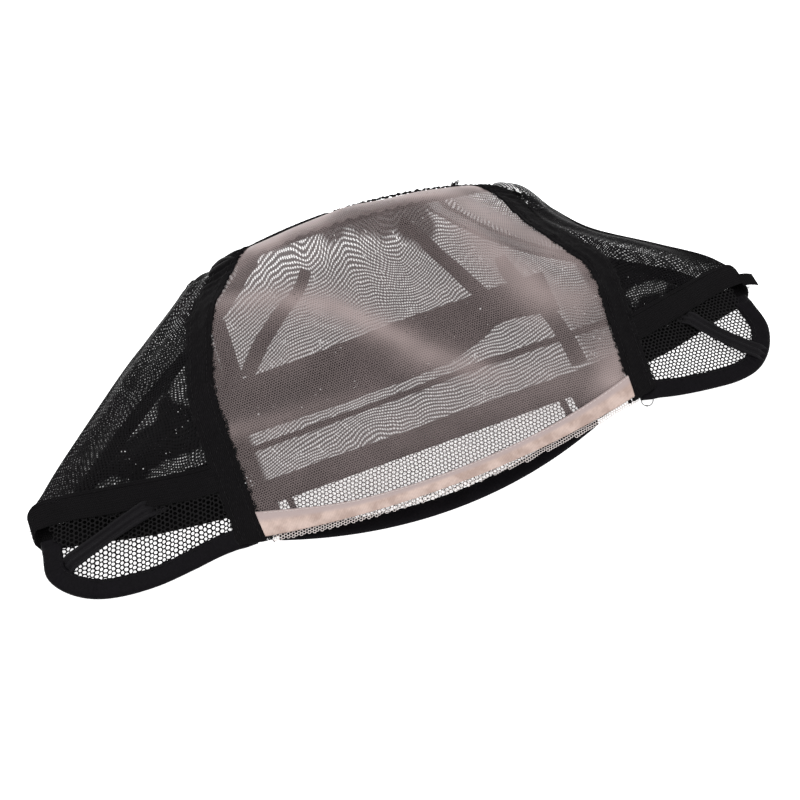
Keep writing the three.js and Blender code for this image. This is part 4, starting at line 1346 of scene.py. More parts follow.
@dataclass
class LaceFront:
    """The sheer lace from the hairline over the crown, with its selvage and the tape sewn on it."""

    room: Workroom
    sink: float = 0.7
    under_ribbon: float = 2.0
    gather_pitch: float = 5.5
    tape_start: float = 1.3
    columns: int = 170
    rows: int = 150
    tape_columns: int = 240
    tape_rows: int = 14
    thread_row: tuple[float, float] = (-69.0, 84.0)
    thread_length: float = 156.0
    open_edge: tuple[float, float] = (-69.0, 83.5)

    def panel(self) -> Panel:
        """The lace's region, with the edges that run on under the seam ribbons.

        Returns:
            The region.
        """
        lines = self.room.lines
        return Panel(lambda place: lines.lace_girth(Side.LEFT, place, self.under_ribbon),
                     lambda place: lines.lace_girth(Side.RIGHT, place, self.under_ribbon),
                     lambda girth: lines.hairline_place(girth, lines.selvage),
                     lambda girth: np.ones_like(girth))

    def ridges(self, girth: Array, place: Array) -> tuple[Array, Array]:
        """Height and closeness along the ridges: bells round their lines. The closeness also turns the lace
        towards its paler full colour there, a painted highlight.

        Args:
            girth: girths of the points.
            place: places of the points.

        Returns:
            The heights and the closeness.
        """
        points = self.room.form.point(girth, place)
        x, y = points[..., 0], points[..., 1]
        height = sum(ridge.lift * ridge.bell(x, y) for ridge in RIDGES_AND_HIGHLIGHTS)
        close = np.max([ridge.gather * ridge.bell(x, y, 1.1) for ridge in RIDGES_AND_HIGHLIGHTS], axis=0)
        return height, close

    def relief(self, girth: Array, place: Array) -> Array:
        """Ridges, a slow unevenness, and gathers that grow towards the crown seam.

        Args:
            girth: girths of the points.
            place: places of the points.

        Returns:
            The heights.
        """
        points = self.room.form.point(girth, place)
        slow = 0.35 * ripple(points[..., 0], points[..., 1], 34, 5)
        gathers = 0.45 * smooth_step(place, 0.9, 1.0) * np.sin(points[..., 0] * 2 * np.pi / self.gather_pitch)
        edge = np.minimum(1, np.minimum(girth - girth[:, :1], girth[:, -1:] - girth) * 14)
        return (self.ridges(girth, place)[0] + slow) * edge + gathers

    def lace(self) -> bpy.types.Object:
        """The lace itself, one open sheet.

        Returns:
            The piece.
        """
        points, girth, place = self.room.drape(self.panel(), self.columns, self.rows, -self.sink, self.relief)
        # Along the crown's crest the lace closes and turns paler, partly the lace seen edge-on and partly a
        # painted highlight of its sheen.
        crest = 0.97 * smooth_step(place + 0.02 * ripple(points[..., 0], place * 60, 24, 13), 0.775, 0.9)
        close = self.ridges(girth, place)[1] + crest
        close = np.maximum(close, 0.04 + 0.04 * ripple(points[..., 0], points[..., 1], 30, 9))
        lay = lay_lengths(points)
        lay[..., 1] += points[:1, :, 1] - self.room.form.rim_y
        piece = add_piece("lace_sheet", points, [grid_faces(self.rows, self.columns)],
                          self.room.finishes["sheer_lace"],
                          lay, {"close": np.clip(close, 0, 0.96)})
        return self.room.dress(piece, "lace", "lace_front")

    def tape_breadth(self, girth: Array) -> Array:
        """Width of the sewn tape in plan: it widens towards its ends, most at the left."""
        return 0.3 + self.room.lines.tape_width(girth) + 2.2 * smooth_step(-girth, 0.2, 0.5)

    def tape(self) -> bpy.types.Object:
        """The hairline tape: slightly domed, with raised woven edges.

        Returns:
            The piece.
        """
        lines = self.room.lines
        panel = Panel(lambda place: lines.lace_girth(Side.LEFT, place, 0.5),
                      lambda place: lines.lace_girth(Side.RIGHT, place, 0.5),
                      lambda girth: lines.hairline_place(girth, self.tape_start),
                      lambda girth: lines.hairline_place(girth, self.tape_start + self.tape_breadth(girth)))
        rows, columns = self.tape_rows, self.tape_columns
        share = np.linspace(0, 1, rows + 1)[:, None]
        dome = 0.35 * np.sqrt(np.clip(np.sin(np.pi * share), 0,
                                      1)) + 0.18 * np.exp(-((share - 0.9) / 0.05) ** 2)
        points, girth, _ = self.room.drape(panel, columns, rows, 0.25,
                                           lambda g, p: dome + 0.1 * ripple(g * 40, p * 60, 9, 8))
        piece = add_piece("hairline_tape_sewn", points, [grid_faces(rows, columns)],
                          self.room.finishes["hairline_weave"],
                          lay_lengths(points), {"tone": smooth_step(share, 0.5, 0.75)
                                                + np.zeros(girth.shape)})
        return self.room.dress(thicken(piece, 0.45), "hairline_tape", "hairline_tape")

    def selvage(self) -> bpy.types.Object:
        """The lace's open edge in front of the tape, a narrow net of real cells.

        Returns:
            The piece.
        """
        lines, form = self.room.lines, self.room.form
        x = np.linspace(*self.open_edge, 60)
        front = np.stack([x, lines.hairline_y(x) - 0.4], axis=-1)
        back = np.stack([x, lines.hairline_y(x) + self.tape_start + 0.6], axis=-1)[::-1]
        plan, faces, raised = honeycomb(np.concatenate([front, back]), 1.12, 0.3, 12.0, 3)
        height = form.top_height(plan[:, 0], plan[:, 1]) - self.sink + 0.25 * raised
        points = np.column_stack([plan, height])
        piece = add_piece("lace_selvage", points, [faces], self.room.finishes["selvage_thread"])
        return self.room.dress(thicken(piece, 0.2), "lace")

    def tape_stitches(self) -> bpy.types.Object:
        """The pale row that holds the tape's upper edge.

        Returns:
            The piece.
        """
        lines, form = self.room.lines, self.room.form

        def path(share: Array, height: Array) -> Array:
            """The row's points.

            Args:
                share: shares of the row.
                height: heights above the cloth.

            Returns:
                The points.
            """
            x = lerp(*self.thread_row, share)
            width = self.tape_breadth(x / form.flat_half(x, 0.0))
            place = form.place_of_y(lines.hairline_y(x) + self.tape_start + width - 0.7)
            return form.lifted(form.girth_of_x(x, place), place, 0.55 + height * 0.8)

        return self.room.stitches("tape_stitches", path, self.thread_length, 1.9, 0.11, 1.5, "selvage_thread",
                                  "hairline_tape")

    def build(self) -> None:
        lace, others = self.lace(), [self.tape(), self.selvage(), self.tape_stitches()]
        self.room.declare(lace, "gathered", ["back_mesh_sheet"], others)


def straight_stitches(room: Workroom, name: str, girth_at: Line, low: Array, high: Array,
                      lift: float) -> bpy.types.Object:
    """A row of stitches along a girth line from one place to another.

    Args:
        room: what the pieces share.
        name: the piece's name.
        girth_at: gives girths at places.
        low: the row's first place.
        high: its last place.
        lift: how far the cloth's face stands out of the form's.

    Returns:
        The piece.
    """
    def path(share: Array, height: Array) -> Array:
        """The row's points, behind the hairline.

        Args:
            share: shares of the row.
            height: heights above the cloth.

        Returns:
            The points.
        """
        place = lerp(low, high, share)
        for _ in range(3):
            start = room.lines.hairline_place(girth_at(place), 1.0)
            place = lerp(np.maximum(low, start), high, share)
        return room.form.lifted(girth_at(place), place, lift + height)

    ends = path(np.linspace(0, 1, 40), np.zeros(40))
    return room.stitches(name, path, line_length(ends), 2.3)


@dataclass
class SeamRibbon:
    """The ribbon over the seam of the lace with a side mesh: woven tape with torn, tufted edges."""

    room: Workroom
    side: Side
    wall: float = 0.5
    teeth: float = 0.55
    length: float = 150.0
    columns: int = 16
    rows: int = 340
    tufts: int = 230

    def edge(self, near: bool) -> Line:
        """Girth of one long edge, which swings in and out as torn threads do.

        Args:
            near: whether it is the edge on the lace.

        Returns:
            The edge's girths at places.
        """
        lines, outward = self.room.lines, 0.0 if near else self.room.lines.seam_ribbon

        def line(place: Array) -> Array:
            """The edge's girths.

            Args:
                place: the places.

            Returns:
                The girths.
            """
            length = place * self.length
            swing = ripple(length, length * 0, 1.9, 11 + near) * 0.5 + ripple(length, length * 0, 5.5,
                                                                              17 + near) * 0.35
            return lines.lace_girth(self.side, place, outward + self.teeth * swing * (1 if near else 0.7))

        return line

    def relief(self, girth: Array, place: Array) -> Array:
        """A flattened double seam along the middle, and gathers near the crown's corner.

        Args:
            girth: girths of the points.
            place: places of the points.

        Returns:
            The heights.
        """
        across = np.linspace(0, 1, girth.shape[1])[None, :]
        ridge = 0.22 * np.exp(-((across - 0.3) / 0.07) ** 2) + 0.18 * np.exp(-((across - 0.72) / 0.06) ** 2)
        near_corner = np.exp(-((place - 0.86) / 0.05) ** 2)
        amount = 0.9 if self.side is Side.LEFT else 0.4
        length, breadth = place * self.length, across * 10
        gather = amount * near_corner * np.sin(length * 2 * np.pi / 3.4 + across * 1.5)
        return ridge + gather + 0.16 * ripple(length, breadth, 7, 23) + 0.1 * ripple(length, breadth, 2.6, 25)

    def build(self) -> None:
        word, lines = self.side.word, self.room.lines
        near, far = self.edge(True), self.edge(False)
        ends = (far, near) if self.side is Side.LEFT else (near, far)
        panel = Panel(ends[0], ends[1], lambda girth: lines.hairline_place(girth, -0.3),
                      lambda girth: np.ones_like(girth))
        points, _, _ = self.room.drape(panel, self.columns, self.rows, 0.0, self.relief)
        piece = add_piece(f"ribbon_{word}", points, [grid_faces(self.rows, self.columns)],
                          self.room.finishes["seam_ribbon"], lay_lengths(points))
        self.room.dress(thicken(piece, self.wall), "seam_ribbon", f"seam_ribbon_{word}")
        rows = [straight_stitches(self.room, f"ribbon_stitches_{word}_{number}",
                                  lambda place, out=out: lines.lace_girth(self.side, place, out), 0.03, 0.97,
                                  0.12)
                for number, out in enumerate((2.2, lines.seam_ribbon - 2.0))]
        tufts = self.edge_loops(near, far)
        if self.side is Side.LEFT:
            rows.append(self.gathered_end())
        length = line_length(points[:, self.columns // 2]) * MM

    def gathered_end(self) -> bpy.types.Object:
        """The folds bunched at the ribbon's upper end: fat rolls that cross it and thin out at both ends.

        Returns:
            The piece.
        """
        lines, form = self.room.lines, self.room.form
        random = np.random.default_rng(171)
        count, steps = 9, 22
        share = np.linspace(0, 1, steps)[None, :]
        first = np.linspace(0.85, 0.965, count)[:, None]
        place = first + lerp(-0.012, 0.02, share) + 0.006 * np.sin(share * 7 + random.uniform(0, 6,
                                                                                              (count, 1)))
        place = np.minimum(place, 0.998)
        outward = lerp(random.uniform(1.0, 3.0, (count, 1)), random.uniform(10.0, 12.5, (count, 1)), share)
        girth = lines.lace_girth(self.side, place, outward)
        lift = 0.45 * np.sin(np.pi * share) - 0.25 + random.uniform(-0.1, 0.2, (count, 1))
        radius = random.uniform(0.8, 1.25, (count, 1)) * (0.3 + 0.7 * np.sin(np.pi * share) ** 0.7)
        points, faces = tubes(form.lifted(girth, place, lift), radius, 9)
        piece = add_piece("ribbon_gathers_left", points, [faces], self.room.finishes["net_thread"])
        return self.room.dress(piece, "seam_ribbon")

    def edge_loops(self, near: Line, far: Line) -> bpy.types.Object:
        """The torn threads of both long edges, as loops that stand out by half to one and a half millimetres.

        Args:
            near: the edge on the lace.
            far: the outer edge.

        Returns:
            The piece.
        """
        random, lines, form = np.random.default_rng(31 + self.side.value), self.room.lines, self.room.form
        count = self.tufts
        place = np.sort(random.uniform(0.0, 0.985, count))
        inner = random.random(count) < 0.65
        girth = np.where(inner, near(place), far(place))
        place = np.maximum(place, lines.hairline_place(girth, 0.5))
        roots = form.lifted(girth, place, np.full(count, -0.25))
        away = np.where(inner, -1.0, 1.0) * self.side.value
        across = form.lifted(girth + 0.02 * away, place, np.full(count, -0.25)) - roots
        ahead = form.lifted(girth, np.minimum(place + 0.01, 1.0), np.full(count, -0.25)) - roots
        reach = (0.2 + 0.95 * random.random(count) ** 2.5) * np.where(inner, 1.0, 0.7)
        width = random.uniform(0.6, 1.7, count)[:, None]
        return self.room.loops(f"ribbon_tufts_{self.side.word}", roots, unit(across), unit(ahead) * width,
                               reach, 0.15)


# Bumps that drag the rows of a net: x, y, reach across, reach along and rise.
ROW_PULLS = (
    (2.0, 60.0, 11.0, 27.0, -8.0), (24.0, 50.0, 10.0, 21.0, 4.5), (-13.0, 64.0, 6.0, 13.0, 3.5),
    (-25.0, 67.0, 9.0, 16.0, -3.0), (43.0, 40.0, 10.0, 24.0, -6.0), (-64.0, 40.0, 25.0, 70.0, 15.0),
    (70.0, -6.0, 15.0, 15.0, -7.0), (-74.0, -24.0, 13.0, 13.0, 7.0), (86.0, 44.0, 16.0, 16.0, 9.0),
    (34.0, -20.0, 9.0, 9.0, 2.2), (-18.0, -22.0, 8.0, 8.0, -2.4), (2.0, -21.0, 6.0, 7.0, 1.6),
             (-42.0, -21.0, 8.0, 8.0, 2.0),
)
# How much closer the holes sit along a row than in an even net.
CROWDED = 1.75


def pulled_rows(points: Array) -> Array:
    """Thread lengths of a net whose rows run along X but for bumps.

    The holes of a row crowd along X. Each bump adds to y its rise times exp(-a squared - b squared), where a
    and b are the distances across and along over its reaches.

    Args:
        points: the net's points.

    Returns:
        The lengths, with 0 as the third number.
    """
    x, y = points[..., 0], points[..., 1]
    pull = sum(rise * np.exp(-((x - cx) / wide) ** 2 - ((y - cy) / deep) ** 2) for cx, cy, wide, deep,
               rise in ROW_PULLS)
    pull += 1.2 * ripple(x, y, 30, 51) + 0.22 * ripple(x, y, 7, 55)
    return np.stack([CROWDED * (x + 0.3 * ripple(x, y, 8, 57)), y + pull, np.zeros_like(x)], axis=-1)


@dataclass
class SideMesh:
    """The fine stretch mesh that wraps round a side fold from the seam ribbon to the back ribbon."""

    room: Workroom
    side: Side
    bulge: float
    bulge_at: float
    sink: float = 0.7
    under_ribbon: float = 2.5
    columns: int = 230
    rows: int = 120

    def relief(self, girth: Array, place: Array) -> Array:
        """Pulls that run from the crown's corner out to the fold, and a slow unevenness.

        Args:
            girth: girths of the points.
            place: places of the points.

        Returns:
            The heights.
        """
        points = self.room.form.point(girth, place)
        stage = stage_of(girth)
        on_top = smooth_step(stage, 0.45, 0.6) * (1 - smooth_step(stage, 0.94, 1.02))
        pulls = np.sin(stage * 46 + 5 * place + 1.5 * np.sin(place * 9)) * smooth_step(place, 0.2, 0.6)
        bulge = self.bulge * np.exp(-((stage - 1.0) / 0.3) ** 2 - ((place - self.bulge_at) / 0.09) ** 2)
        unevenness = 0.35 * pulls + 0.5 * ripple(points[..., 0], points[..., 1], 26, 43 + self.side.value)
        return on_top * unevenness + bulge

    def closed(self, girth: Array, place: Array) -> Array:
        """Where the mesh is gathered shut: at the crown's corner and, by half on the left, round the fold.

        Args:
            girth: girths of the points.
            place: places of the points.

        Returns:
            0 for open to 1 for shut.
        """
        stage = stage_of(girth)
        near_ribbon = np.abs(girth - (girth[:, :1] if self.side is Side.RIGHT else girth[:, -1:]))
        corner = smooth_step(place, 0.8, 0.88) * (1 - smooth_step(near_ribbon, 0.35, 0.6))
        if self.side is Side.LEFT:
            return np.maximum(corner, 0.56 * smooth_step(stage, 0.8, 0.95))
        hem = smooth_step(stage, 0.9, 0.95) * (1 - smooth_step(stage, 1.7, 2.0)) * smooth_step(place, 0.3,
                                                                                               0.5)
        streak = np.exp(-(((stage - 1.08) / 0.25) ** 4) - ((place - 0.85) / 0.085) ** 4)
        return np.maximum(corner, hem) * (1 - streak)

    def rows_of(self, points: Array) -> Array:
        """Thread lengths along and across the mesh, dragged a little by the pulls.

        Args:
            points: the mesh's points.

        Returns:
            The lengths, with 0 as the third number.
        """
        lay = lay_lengths(points)
        lay[..., 0] += 1.2 * ripple(points[..., 0], points[..., 1], 26, 45)
        lay[..., 1] += 1.4 * ripple(points[..., 0], points[..., 1], 24, 47)
        return lay

    def build(self) -> None:
        word, lines = self.side.word, self.room.lines

        def near(place: Array) -> Array:
            """The edge under the seam ribbon."""
            return lines.lace_girth(self.side, place, lines.seam_ribbon - self.under_ribbon)

        def far(place: Array) -> Array:
            """The edge under the back ribbon."""
            return lines.back_ribbon_girth(self.side, place, self.under_ribbon)

        ends = (far, near) if self.side is Side.LEFT else (near, far)
        panel = Panel(ends[0], ends[1], lambda girth: lines.band_place(girth, lines.elastic_band - 2.0),
                      lambda girth: np.ones_like(girth))
        points, girth, place = self.room.drape(panel, self.columns, self.rows, -self.sink, self.relief)
        piece = add_piece(f"mesh_sheet_{word}", points, [grid_faces(self.rows, self.columns)],
                          self.room.finishes["side_net"], self.rows_of(points),
                          {"close": 0.97 * self.closed(girth, place)})
        self.room.dress(piece, "stretch_mesh", f"side_mesh_{word}")
        self.room.declare(piece, "folded", ["back_mesh_sheet"])


@dataclass(frozen=True)
class InnerTape:
    """A tape on the back layer's inner side. Each of its rows is x, y and width in plan."""

    name: str
    rows: tuple[tuple[float, float, float], ...]
    slot: str
    finish: str
    nodes: tuple[str, ...] = ()
    depth: float = -2.1


INNER_TAPES = (
    InnerTape("cross_band_laid", ((-75.5, 4.5, 25), (-50, 4.5, 25), (-20, 5, 26), (5, 5.8, 27), (22, 6.8, 26),
                                  (36, 9, 22),
                                  (50, 11.5, 17), (75.5, 10, 20)), "elastic", "cross_elastic",
              ("back_cross_band",)),
    InnerTape("line_tape_laid", ((-93, -14.5, 2.4), (-40, -14, 2.4), (0, -13, 2.4), (35, -12.2, 2.8),
                                 (93, -12.6, 3.2)),
              "elastic", "elastic_ribs", ("back_line_tape",), depth=-1.8),
    InnerTape("crown_tape_left", ((-55, 18, 6), (-45, 30, 6.5), (-33, 41, 6), (-23, 48, 5), (-16, 56, 4.5)),
              "seam_ribbon", "thin_tape", ("crown_ribbon_left",), depth=-1.5),
    InnerTape("crown_tape_right", ((48.5, 19, 6.5), (44, 32, 6.5), (39.5, 44, 6), (35, 54, 5), (28, 61, 5)),
              "seam_ribbon", "thin_tape", ("crown_ribbon_right",), depth=-1.5),
    InnerTape("side_tape_left", ((-60, 17, 7), (-59, 32, 7), (-58, 47, 6.5)), "seam_ribbon", "thin_tape",
              depth=-1.3),
    InnerTape("side_tape_right", ((71.5, -26, 7), (71.5, -12, 6.5), (70, 2, 6.5), (64, 22, 7), (63, 34, 5)),
              "seam_ribbon", "thin_tape", depth=-1.3),
    InnerTape("nape_side_tape_left", ((-57.2, -35, 2.4), (-57, -42, 2.4), (-56.6, -49, 2.4)), "elastic",
              "elastic_ribs", depth=-1.0),
    InnerTape("nape_side_tape_right", ((57.4, -35, 2.6), (57.4, -42, 2.6), (57.2, -49, 2.6)), "elastic",
              "elastic_ribs", depth=-1.0),
)
# Openings of the lining that closes the back layer beside the lace, in plan.
LINING_OPENINGS = (
    ((-85, 31), (-75, 43), (-69, 44), (-72, 28), (-78, 13), (-84, 18)),
    ((-118, 9), (-106, 15), (-95, 24), (-89, 22), (-97, 12), (-108, 7)),
    ((-103, -6), (-82, -6), (-81, -10), (-82, -15), (-104, -12)),
    ((-126, -7), (-111, -7), (-111, -10), (-125, -10)),
    ((84, 64), (92, 58), (99, 44), (94, 44), (86, 55)),
    ((90, 44), (100, 38), (107, 29), (111, 16), (108, 15), (99, 22), (94, 26), (93, 34)),
    ((107, 37), (122, 26), (136, 11), (141, 5), (131, 10), (120, 18), (113, 28)),
    ((105, -2), (118, -2), (137, -4), (139, -6), (120, -7), (105, -9), (104, -7)),
)
# The x beyond which the back layer is lined, at the left and at the right.
LINED_BEYOND = (-62.5, 91.0)
# The lined part under the crown, in plan.
CROWN_LINING = ((-16, 80), (-10, 63.5), (-2, 62), (8, 61), (17, 59.5), (25, 56.5), (31, 52.5), (36, 48),
                (41, 55),
                (44, 62), (45, 80))


def lining(points: Array) -> Array:
    """How closed the back layer is: lined beside the lace but for its openings, whose edges blur.

    Args:
        points: points of the back layer.

    Returns:
        0 for open to 1 for shut.
    """
    x, y = points[..., 0], points[..., 1]
    left, right = LINED_BEYOND
    close = np.maximum(1 - smooth_step(x, left - 1, left + 1), smooth_step(x, right - 1, right + 1))
    close = np.maximum(close, 0.6 * smooth_step(x, 74, 78) * (1 - smooth_step(y, 2, 12)))
    crown = np.array(CROWN_LINING, float)
    inward = line_distance(x, y, crown) * np.where(inside_outline(points[..., :2], crown), 1, -1)
    close = np.maximum(close, 0.94 * smooth_step(inward + 1.2 * ripple(x, y, 11, 59), -2.0, 2.0))
    for corners in LINING_OPENINGS:
        outline = np.array(corners, float)
        distance = line_distance(x, y, np.concatenate([outline, outline[:1]]))
        inward = np.where(inside_outline(points[..., :2], outline), distance, -distance)
        close *= 1 - 0.86 * smooth_step(inward + 1.2 * ripple(x, y, 9, 53), -0.8, 1.2)
    return close


@dataclass
class BackLayer:
    """The fine mesh that lies on the table, its ribbons, and the darker tapes that show through the lace."""

    room: Workroom
    sink: float = 0.7
    ribbon: float = 9.0
    columns: int = 250
    rows: int = 110
    ribbon_columns: int = 10
    ribbon_rows: int = 140
    tape_columns: int = 12
    tape_rows: int = 160

    def mesh(self) -> bpy.types.Object:
        """The back's mesh, from back ribbon to back ribbon.

        Returns:
            The piece.
        """
        lines = self.room.lines
        panel = Panel(lambda place: lines.back_ribbon_girth(Side.RIGHT, place, self.ribbon - 2),
                      lambda place: 6 + lines.back_ribbon_girth(Side.LEFT, place, self.ribbon - 2),
                      lambda girth: lines.band_place(girth, lines.elastic_band - 2.0),
                      lambda girth: np.ones_like(girth))

        def relief(girth: Array, place: Array) -> Array:
            """How slack the mesh hangs between the band and the crown.

            Args:
                girth: girths of the points.
                place: places of the points.

            Returns:
                The heights.
            """
            spot = self.room.form.point(girth, place)
            slack = smooth_step(place, 0.25, 0.35) * (1 - smooth_step(place, 0.88, 0.96))
            return -0.5 * (1 + ripple(spot[..., 0], spot[..., 1], 24, 61)) * slack

        points, _, _ = self.room.drape(panel, self.columns, self.rows, -self.sink, relief)
        piece = add_piece("back_mesh_sheet", points, [grid_faces(self.rows, self.columns)],
                          self.room.finishes["back_net"],
                          pulled_rows(points), {"close": 0.99 * lining(points)})
        self.room.dress(piece, "stretch_mesh", "back_mesh")
        self.room.declare(piece, "laid", crowded=CROWDED)
        return piece

    def back_ribbon(self, side: Side) -> bpy.types.Object:
        """The ribbon between a side mesh and the back mesh.

        Args:
            side: the ribbon's side.

        Returns:
            The piece.
        """
        lines, word = self.room.lines, side.word

        def near(place: Array) -> Array:
            """The edge at the side mesh."""
            return lines.back_ribbon_girth(side, place, 0.0)

        def far(place: Array) -> Array:
            """The edge at the back mesh."""
            return lines.back_ribbon_girth(side, place, self.ribbon)

        ends = (far, near) if side is Side.LEFT else (near, far)
        panel = Panel(ends[0], ends[1], lambda girth: lines.band_place(girth, lines.elastic_band - 1.0),
                      lambda girth: np.ones_like(girth))
        points, _, _ = self.room.drape(panel, self.ribbon_columns, self.ribbon_rows, 0.0)
        finish = "seam_ribbon" if side is Side.LEFT else "sheer_ribbon"
        piece = add_piece(f"inner_ribbon_{word}", points, [grid_faces(self.ribbon_rows, self.ribbon_columns)],
                          self.room.finishes[finish], lay_lengths(points),
                          {"close": smooth_step(points[..., 0], 82, 94)})
        return self.room.dress(thicken(piece, 0.5), "seam_ribbon", f"back_ribbon_{word}")

    def tape(self, tape: InnerTape) -> bpy.types.Object:
        """Lays a tape inside the back layer along its rows.

        Args:
            tape: the tape.

        Returns:
            The piece.
        """
        form, rows = self.room.form, np.array(tape.rows, float)
        line = spline(rows, np.linspace(0, 1, self.tape_rows + 1))
        tangent = unit(np.gradient(line[:, :2], axis=0))
        side = np.stack([-tangent[:, 1], tangent[:, 0]], axis=-1)
        share = np.linspace(-0.5, 0.5, self.tape_columns + 1)
        across = share[None, :, None] * line[:, None, 2:]
        spots = line[:, None, :2] + side[:, None] * across
        place = form.place_of_y(spots[..., 1])
        for _ in range(3):
            place = form.place_of_y(spots[..., 1], np.abs(form.girth_of_x(spots[..., 0], place)))
        girth = np.where(spots[..., 0] < 0, -1, 1) * (3 - np.abs(form.girth_of_x(spots[..., 0], place)))
        points = form.lifted(girth, place, tape.depth + 0.25 * ripple(spots[..., 0], spots[..., 1], 15, 71))
        lay = lay_lengths(points)[..., [1, 0, 2]]
        middle = 1 - np.abs(2 * share)[None, :] ** 3 + 0 * line[:, :1]
        piece = add_piece(tape.name, points, [grid_faces(self.tape_rows, self.tape_columns)],
                          self.room.finishes[tape.finish], lay, {"close": 0.75 * middle})
        return self.room.dress(thicken(piece, 0.4, 0.0), tape.slot, *tape.nodes)

    def build(self) -> None:
        """Builds the back layer."""
        self.mesh()
        for side in Side:
            self.back_ribbon(side)
        for tape in INNER_TAPES:
            self.tape(tape)


@dataclass
class ElasticBand:
    """The ribbed elastic band from one seam ribbon round the back to the other."""

    room: Workroom
    ribs: int = 11
    wall: float = 0.5
    flap_at: float = 1.1
    flap_reach: float = 6.5
    columns: int = 760
    rows: int = 44
    frays: int = 60

    def build(self) -> None:
        lines, form = self.room.lines, self.room.form
        panel = Panel(lambda place: lines.lace_girth(Side.RIGHT, place, lines.seam_ribbon - 1.0),
                      lambda place: 6 + lines.lace_girth(Side.LEFT, place, lines.seam_ribbon - 1.0),
                      lambda girth: lines.band_place(girth, 0.0),
                      lambda girth: lines.band_place(girth, lines.elastic_band))
        share = np.linspace(0, 1, self.rows + 1)[:, None]
        ribs = 0.12 * np.cos(2 * np.pi * self.ribs * share) - 0.25 * np.exp(-((share - 0.86) / 0.02) ** 2)

        def relief(girth: Array, place: Array) -> Array:
            """The ribs and a slow unevenness."""
            spot = form.point(girth, place)
            return ribs + 0.22 * ripple(spot[..., 0], spot[..., 1], 30, 81)

        points, _, _ = self.room.drape(panel, self.columns, self.rows, 0.0, relief)
        piece = add_piece("elastic_band_sewn", points, [grid_faces(self.rows, self.columns)],
                          self.room.finishes["elastic_ribs"], lay_lengths(points))
        self.room.dress(thicken(piece, self.wall), "elastic", "elastic_band")
        random = np.random.default_rng(91)
        count = self.frays
        girth = np.concatenate([random.uniform(1.1, 1.8, count // 2), random.uniform(4.2, 4.9, count // 2)])
        place = lines.band_place(girth, 0.0) + random.uniform(-0.002, 0.03, count)
        roots = form.lifted(girth, place, np.full(count, -0.2))
        outward = form.normal(girth, place)
        frays = self.room.fibres("band_frays", roots, outward, 93, (0.6, 2.2), 0.08)
        flap = self.cut_end(ribs)
        length = line_length(points[self.rows // 2]) * MM

    def cut_end(self, ribs: Array) -> bpy.types.Object:
        """The band's doubled cut end at the right fold, which stands off it as a stiff flap.

        Args:
            ribs: height of the ribs across the band.

        Returns:
            The piece.
        """
        lines, form = self.room.lines, self.room.form
        share, out = np.linspace(0, 1, len(ribs))[:, None], np.linspace(0, 1, 15)[None, :]
        girth = self.flap_at + 0 * share
        place = form.place_of_y(lines.band_y(girth) + lines.elastic_band * lerp(-0.12, 0.45, share))
        foot = form.lifted(girth, place, 0.1 + 0 * share)
        away = np.array([0.93, -0.28, -0.1]) * self.flap_reach
        points = foot + out[..., None] * away + np.stack([0 * out, 0 * out, 0.8 * np.sin(out * 2.6)
                                                          - 0.3 * out], axis=-1)
        points = points + form.normal(girth, place) * (0.5 * ribs)[..., None]
        points[..., 2] = np.maximum(points[..., 2], 0.6)
        piece = add_piece("band_cut_end", points, [grid_faces(len(ribs) - 1, 14)],
                          self.room.finishes["elastic_ribs"],
                          lay_lengths(points))
        return self.room.dress(thicken(piece, self.wall, 0.0), "elastic")


# Profile of a folded tape: shares of its width from the outer edge, and of its wall from the middle.
FOLDED_PROFILE = np.array([
    (0.0, 0.0), (0.05, 0.3), (0.14, 0.46), (0.3, 0.5), (0.55, 0.47), (0.8, 0.45), (0.93, 0.42), (1.0, 0.3),
    (1.0, -0.3), (0.93, -0.42), (0.8, -0.45), (0.55, -0.47), (0.3, -0.5), (0.14, -0.46), (0.05, -0.3),
])


